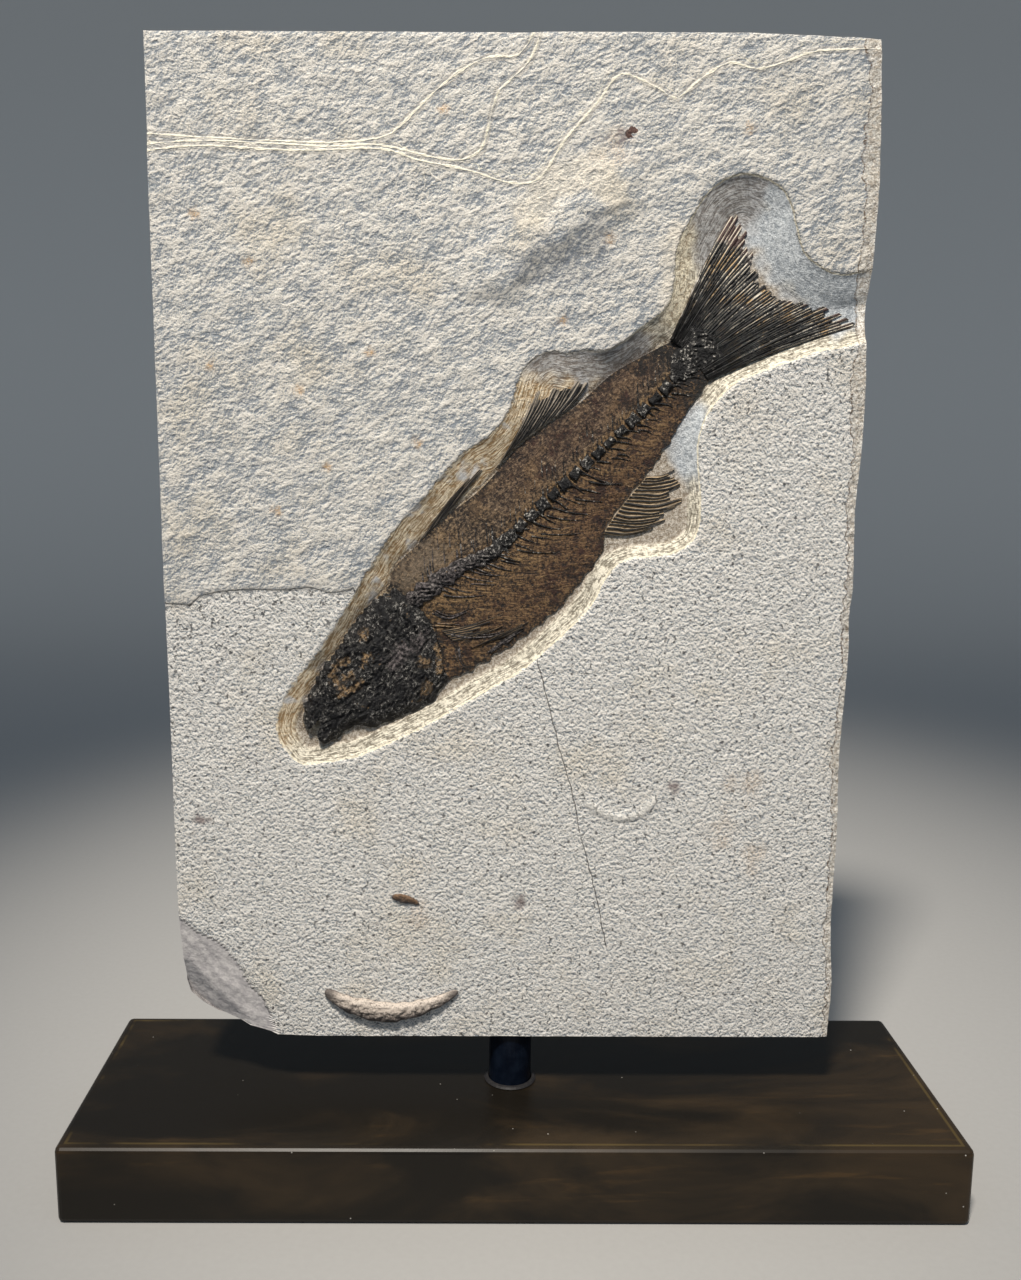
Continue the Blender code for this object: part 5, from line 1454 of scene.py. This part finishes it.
                lay(smoothed(bone + mm(beside), 0.8 * MM), radius, proud)
        return lines, radii


class FOSSIL_OT_fins(bpy.types.Operator):
    """Model the tail, the dorsal and anal fins, and the paired fins under the body"""
    bl_idname = "fossil.fins"
    bl_label = "Fins"

    def execute(self, context):
        face = Face()

        def floor(points):
            return face.level(points) + 0.12 * MM

        def skin(points):
            return flank_level(points) + 0.1 * MM

        def tail_wear(fish):
            black = patch(fish, TAIL_BLACK, 71, 1.2 * MM)
            maroon = np.maximum(patch(fish, TAIL_LOBE, 72, 1.0 * MM), near(fish, TAIL_TIPS, 2.6 * MM, 73))
            return (1 - np.maximum(black, maroon)), maroon, ease(fish[:, 0], 158 * MM, 150 * MM)

        fan("tail_fin", mm((147.4, 6.8), (148.6, 0), (147.6, -8.6)),
            mm((183.5, 20.3), (181.5, 14), (178.4, 7), (175.6, 0.5), (176.4, -5), (179.8, -10.5), (184, -16.5),
               (187, -26)),
            context.scene.fossil_fish.tail_rays, 0.02, floor, 0.9 * MM, tail_finish(), rows=90, detail=7,
            worn=tail_wear)
        fan("rear_dorsal_fin", mm((90, 14.6), (98, 15), (108, 13.9), (115, 12.4)),
            mm((112.5, 22.5), (117, 20.5), (121, 17), (124, 13.4)), 13, -0.03, floor, 0.75 * MM,
            fin_finish("Dorsal rays", (0.22, 0.19, 0.155), 0.84, 0.72), ragged=0.25, detail=9)
        fan("anal_fin", mm((98.5, -19.6), (101.5, -18.6), (108, -17.3), (118, -16.1)),
            mm((111.5, -28.6), (119.3, -28.4), (122, -26), (125.5, -20)), 18, -0.08, floor, 0.9 * MM,
            fin_finish("Anal rays", (0.25, 0.19, 0.12), 0.86, 0.86), ragged=0.35, detail=9)
        fan("front_dorsal_fin", mm((60, 14.6), (74, 15)), mm((84.5, 18.2), (88, 16.4)), 6, 0.02, floor, 0.40 * MM,
            fin_finish("Folded dorsal rays", (0.22, 0.175, 0.13), 0.72, 1.05), ragged=0.35, detail=9)
        paired = fin_finish("Paired fin rays", (0.15, 0.105, 0.06), 0.70, 0.95)
        fan("pelvic_fin", mm((49.5, -17), (55, -19.4)), mm((67, -21), (66.5, -24)), 8, -0.03, skin, 0.25 * MM,
            paired, ragged=0.5)
        fan("pectoral_fin", mm((47.2, -7.6), (47.6, -12.5)), mm((64, -16.4), (61, -19)), 7, -0.03, skin, 0.22 * MM,
            paired, ragged=0.6)
        return {"FINISHED"}


class FOSSIL_OT_small_fossils(bpy.types.Operator):
    """Model the coprolites and the loose scale beside the fish"""
    bl_idname = "fossil.small_fossils"
    bl_label = "Small Fossils"

    def execute(self, context):
        pod("crescent_pod", "crescent_coprolite", COPROLITE_LINE, 2.9 * MM, 2.5 * MM, LOWER_BED + 0.1 * MM,
            coprolite_finish("Tan coprolite", (0.50, 0.44, 0.385), (0.14, 0.115, 0.10)))
        pod("small_pod", "small_coprolite", SCRAP_LINE, 1.2 * MM, 0.8 * MM, LOWER_BED + 0.1 * MM,
            coprolite_finish("Dark coprolite", (0.15, 0.095, 0.060), (0.030, 0.020, 0.015)))
        pod("loose_scale", "scale_scrap", SCALE_LINE, 2.2 * MM, 0.6 * MM, UPPER_BED - 0.6 * MM,
            coprolite_finish("Dark scale", (0.16, 0.095, 0.080), (0.040, 0.022, 0.020)))
        return {"FINISHED"}


class FOSSIL_OT_stand(bpy.types.Operator):
    """Finish the steel base, its post and the ring of glue"""
    bl_idname = "fossil.stand"
    bl_label = "Stand"

    def execute(self, context):
        for node, finish in (("base", patina_finish()), ("post", post_finish()), ("glue_bead", glue_finish())):
            cover(bpy.data.objects[node], finish)
        return {"FINISHED"}


class FOSSIL_OT_stage(bpy.types.Operator):
    """Set up the floor, the lights and the camera"""
    bl_idname = "fossil.stage"
    bl_label = "Stage"

    def execute(self, context):
        look = context.scene.fossil_stand
        select_only()
        bpy.ops.mesh.primitive_plane_add(size=FLOOR_SIZE, location=FLOOR_MIDDLE)
        floor = context.object
        floor.name = "studio_floor"
        self.sweep_up(floor)
        floor.data.materials.append(floor_finish())
        self.light(look.key_power)
        world = bpy.data.worlds.new("Pale room")
        context.scene.world = world
        world.use_nodes = True
        sky = world.node_tree.nodes["Background"]
        sky.inputs["Color"].default_value = SKY_COLOUR
        sky.inputs["Strength"].default_value = look.sky_strength
        context.scene.view_settings.view_transform = "Standard"
        self.camera(context)
        select_only()
        return {"FINISHED"}

    @staticmethod
    def sweep_up(floor):
        """Carries the floor's far edge up into a backdrop with a soft bend."""
        spots = floor.data.vertices

        def edit_edges(chosen):
            """Goes into edit mode with only the edges selected whose ends are all chosen."""
            bpy.ops.object.mode_set(mode="OBJECT")
            for edge in floor.data.edges:
                edge.select = all(chosen(spots[i].co) for i in edge.vertices)
            bpy.ops.object.mode_set(mode="EDIT")

        bpy.ops.object.mode_set(mode="EDIT")
        bpy.ops.mesh.select_mode(type="EDGE")
        bpy.ops.mesh.select_all(action="DESELECT")
        edit_edges(lambda place: place.y > 1)
        bpy.ops.mesh.extrude_region_move(TRANSFORM_OT_translate={"value": (0, 0, BACKDROP_HEIGHT)})
        bpy.ops.mesh.select_all(action="DESELECT")
        edit_edges(lambda place: place.y > 1 and abs(place.z) < 0.1)
        bpy.ops.mesh.bevel(offset=BACKDROP_BEND, segments=24)
        bpy.ops.mesh.select_all(action="DESELECT")
        bpy.ops.object.mode_set(mode="OBJECT")
        bpy.ops.object.shade_smooth()

    @staticmethod
    def light(power):
        """A soft spot light, high up in front and to the left, that looks at the slab's middle."""
        bpy.ops.object.light_add(type="SPOT", location=LAMP_PLACE)
        lamp = named("key_light")
        lamp.data.energy = power
        lamp.data.shadow_soft_size = LAMP_RADIUS
        lamp.data.spot_size = LAMP_CONE
        lamp.data.spot_blend = 1.0
        lamp.data.color = LAMP_COLOUR
        lamp.rotation_euler = (Vector(LAMP_AIM) - lamp.location).to_track_quat("-Z", "Y").to_euler()

    @staticmethod
    def camera(context):
        """Looks straight at the slab from a little above its middle."""
        bpy.ops.object.camera_add(location=CAMERA_PLACE)
        camera = context.object
        camera.rotation_euler = (math.pi / 2 - CAMERA_PITCH, CAMERA_ROLL, 0)
        camera.data.sensor_width = CAMERA_SENSOR
        camera.data.lens = CAMERA_LENS
        camera.data.shift_x = CAMERA_SHIFT
        camera.data.clip_start = 0.01
        context.scene.camera = camera


class FOSSIL_PT_panel(bpy.types.Panel):
    """Lists the pieces and what can be changed"""
    bl_idname = "FOSSIL_PT_panel"
    bl_label = "Fossil Fish Slab"
    bl_space_type = "VIEW_3D"
    bl_region_type = "UI"
    bl_category = "Fossil"

    def draw(self, context):
        for group in (getattr(context.scene, name) for name in GROUPS):
            box = self.layout.box()
            for name in group.bl_rna.properties.keys():
                if name not in {"rna_type", "name"}:
                    box.prop(group, name)
        for operator in OPERATORS:
            self.layout.operator(operator.bl_idname)


GROUPS = {"fossil_stone": StoneLook, "fossil_fish": FishLook, "fossil_stand": StandLook}
OPERATORS = (FOSSIL_OT_finishes, FOSSIL_OT_slab, FOSSIL_OT_skin, FOSSIL_OT_skull, FOSSIL_OT_backbone,
             FOSSIL_OT_fins, FOSSIL_OT_small_fossils, FOSSIL_OT_stand, FOSSIL_OT_stage)


def register():
    for each in (*GROUPS.values(), *OPERATORS, FOSSIL_PT_panel):
        bpy.utils.register_class(each)
    for name, group in GROUPS.items():
        setattr(bpy.types.Scene, name, PointerProperty(type=group))


def unregister():
    for name in GROUPS:
        delattr(bpy.types.Scene, name)
    for each in reversed((*GROUPS.values(), *OPERATORS, FOSSIL_PT_panel)):
        bpy.utils.unregister_class(each)


def main():
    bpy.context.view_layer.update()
    register()
    bpy.ops.fossil.finishes()
    bpy.ops.fossil.slab()
    bpy.ops.fossil.skin()
    bpy.ops.fossil.skull()
    bpy.ops.fossil.backbone()
    bpy.ops.fossil.fins()
    bpy.ops.fossil.small_fossils()
    bpy.ops.fossil.stand()
    bpy.ops.fossil.stage()


if __name__ == "__main__":
    main()
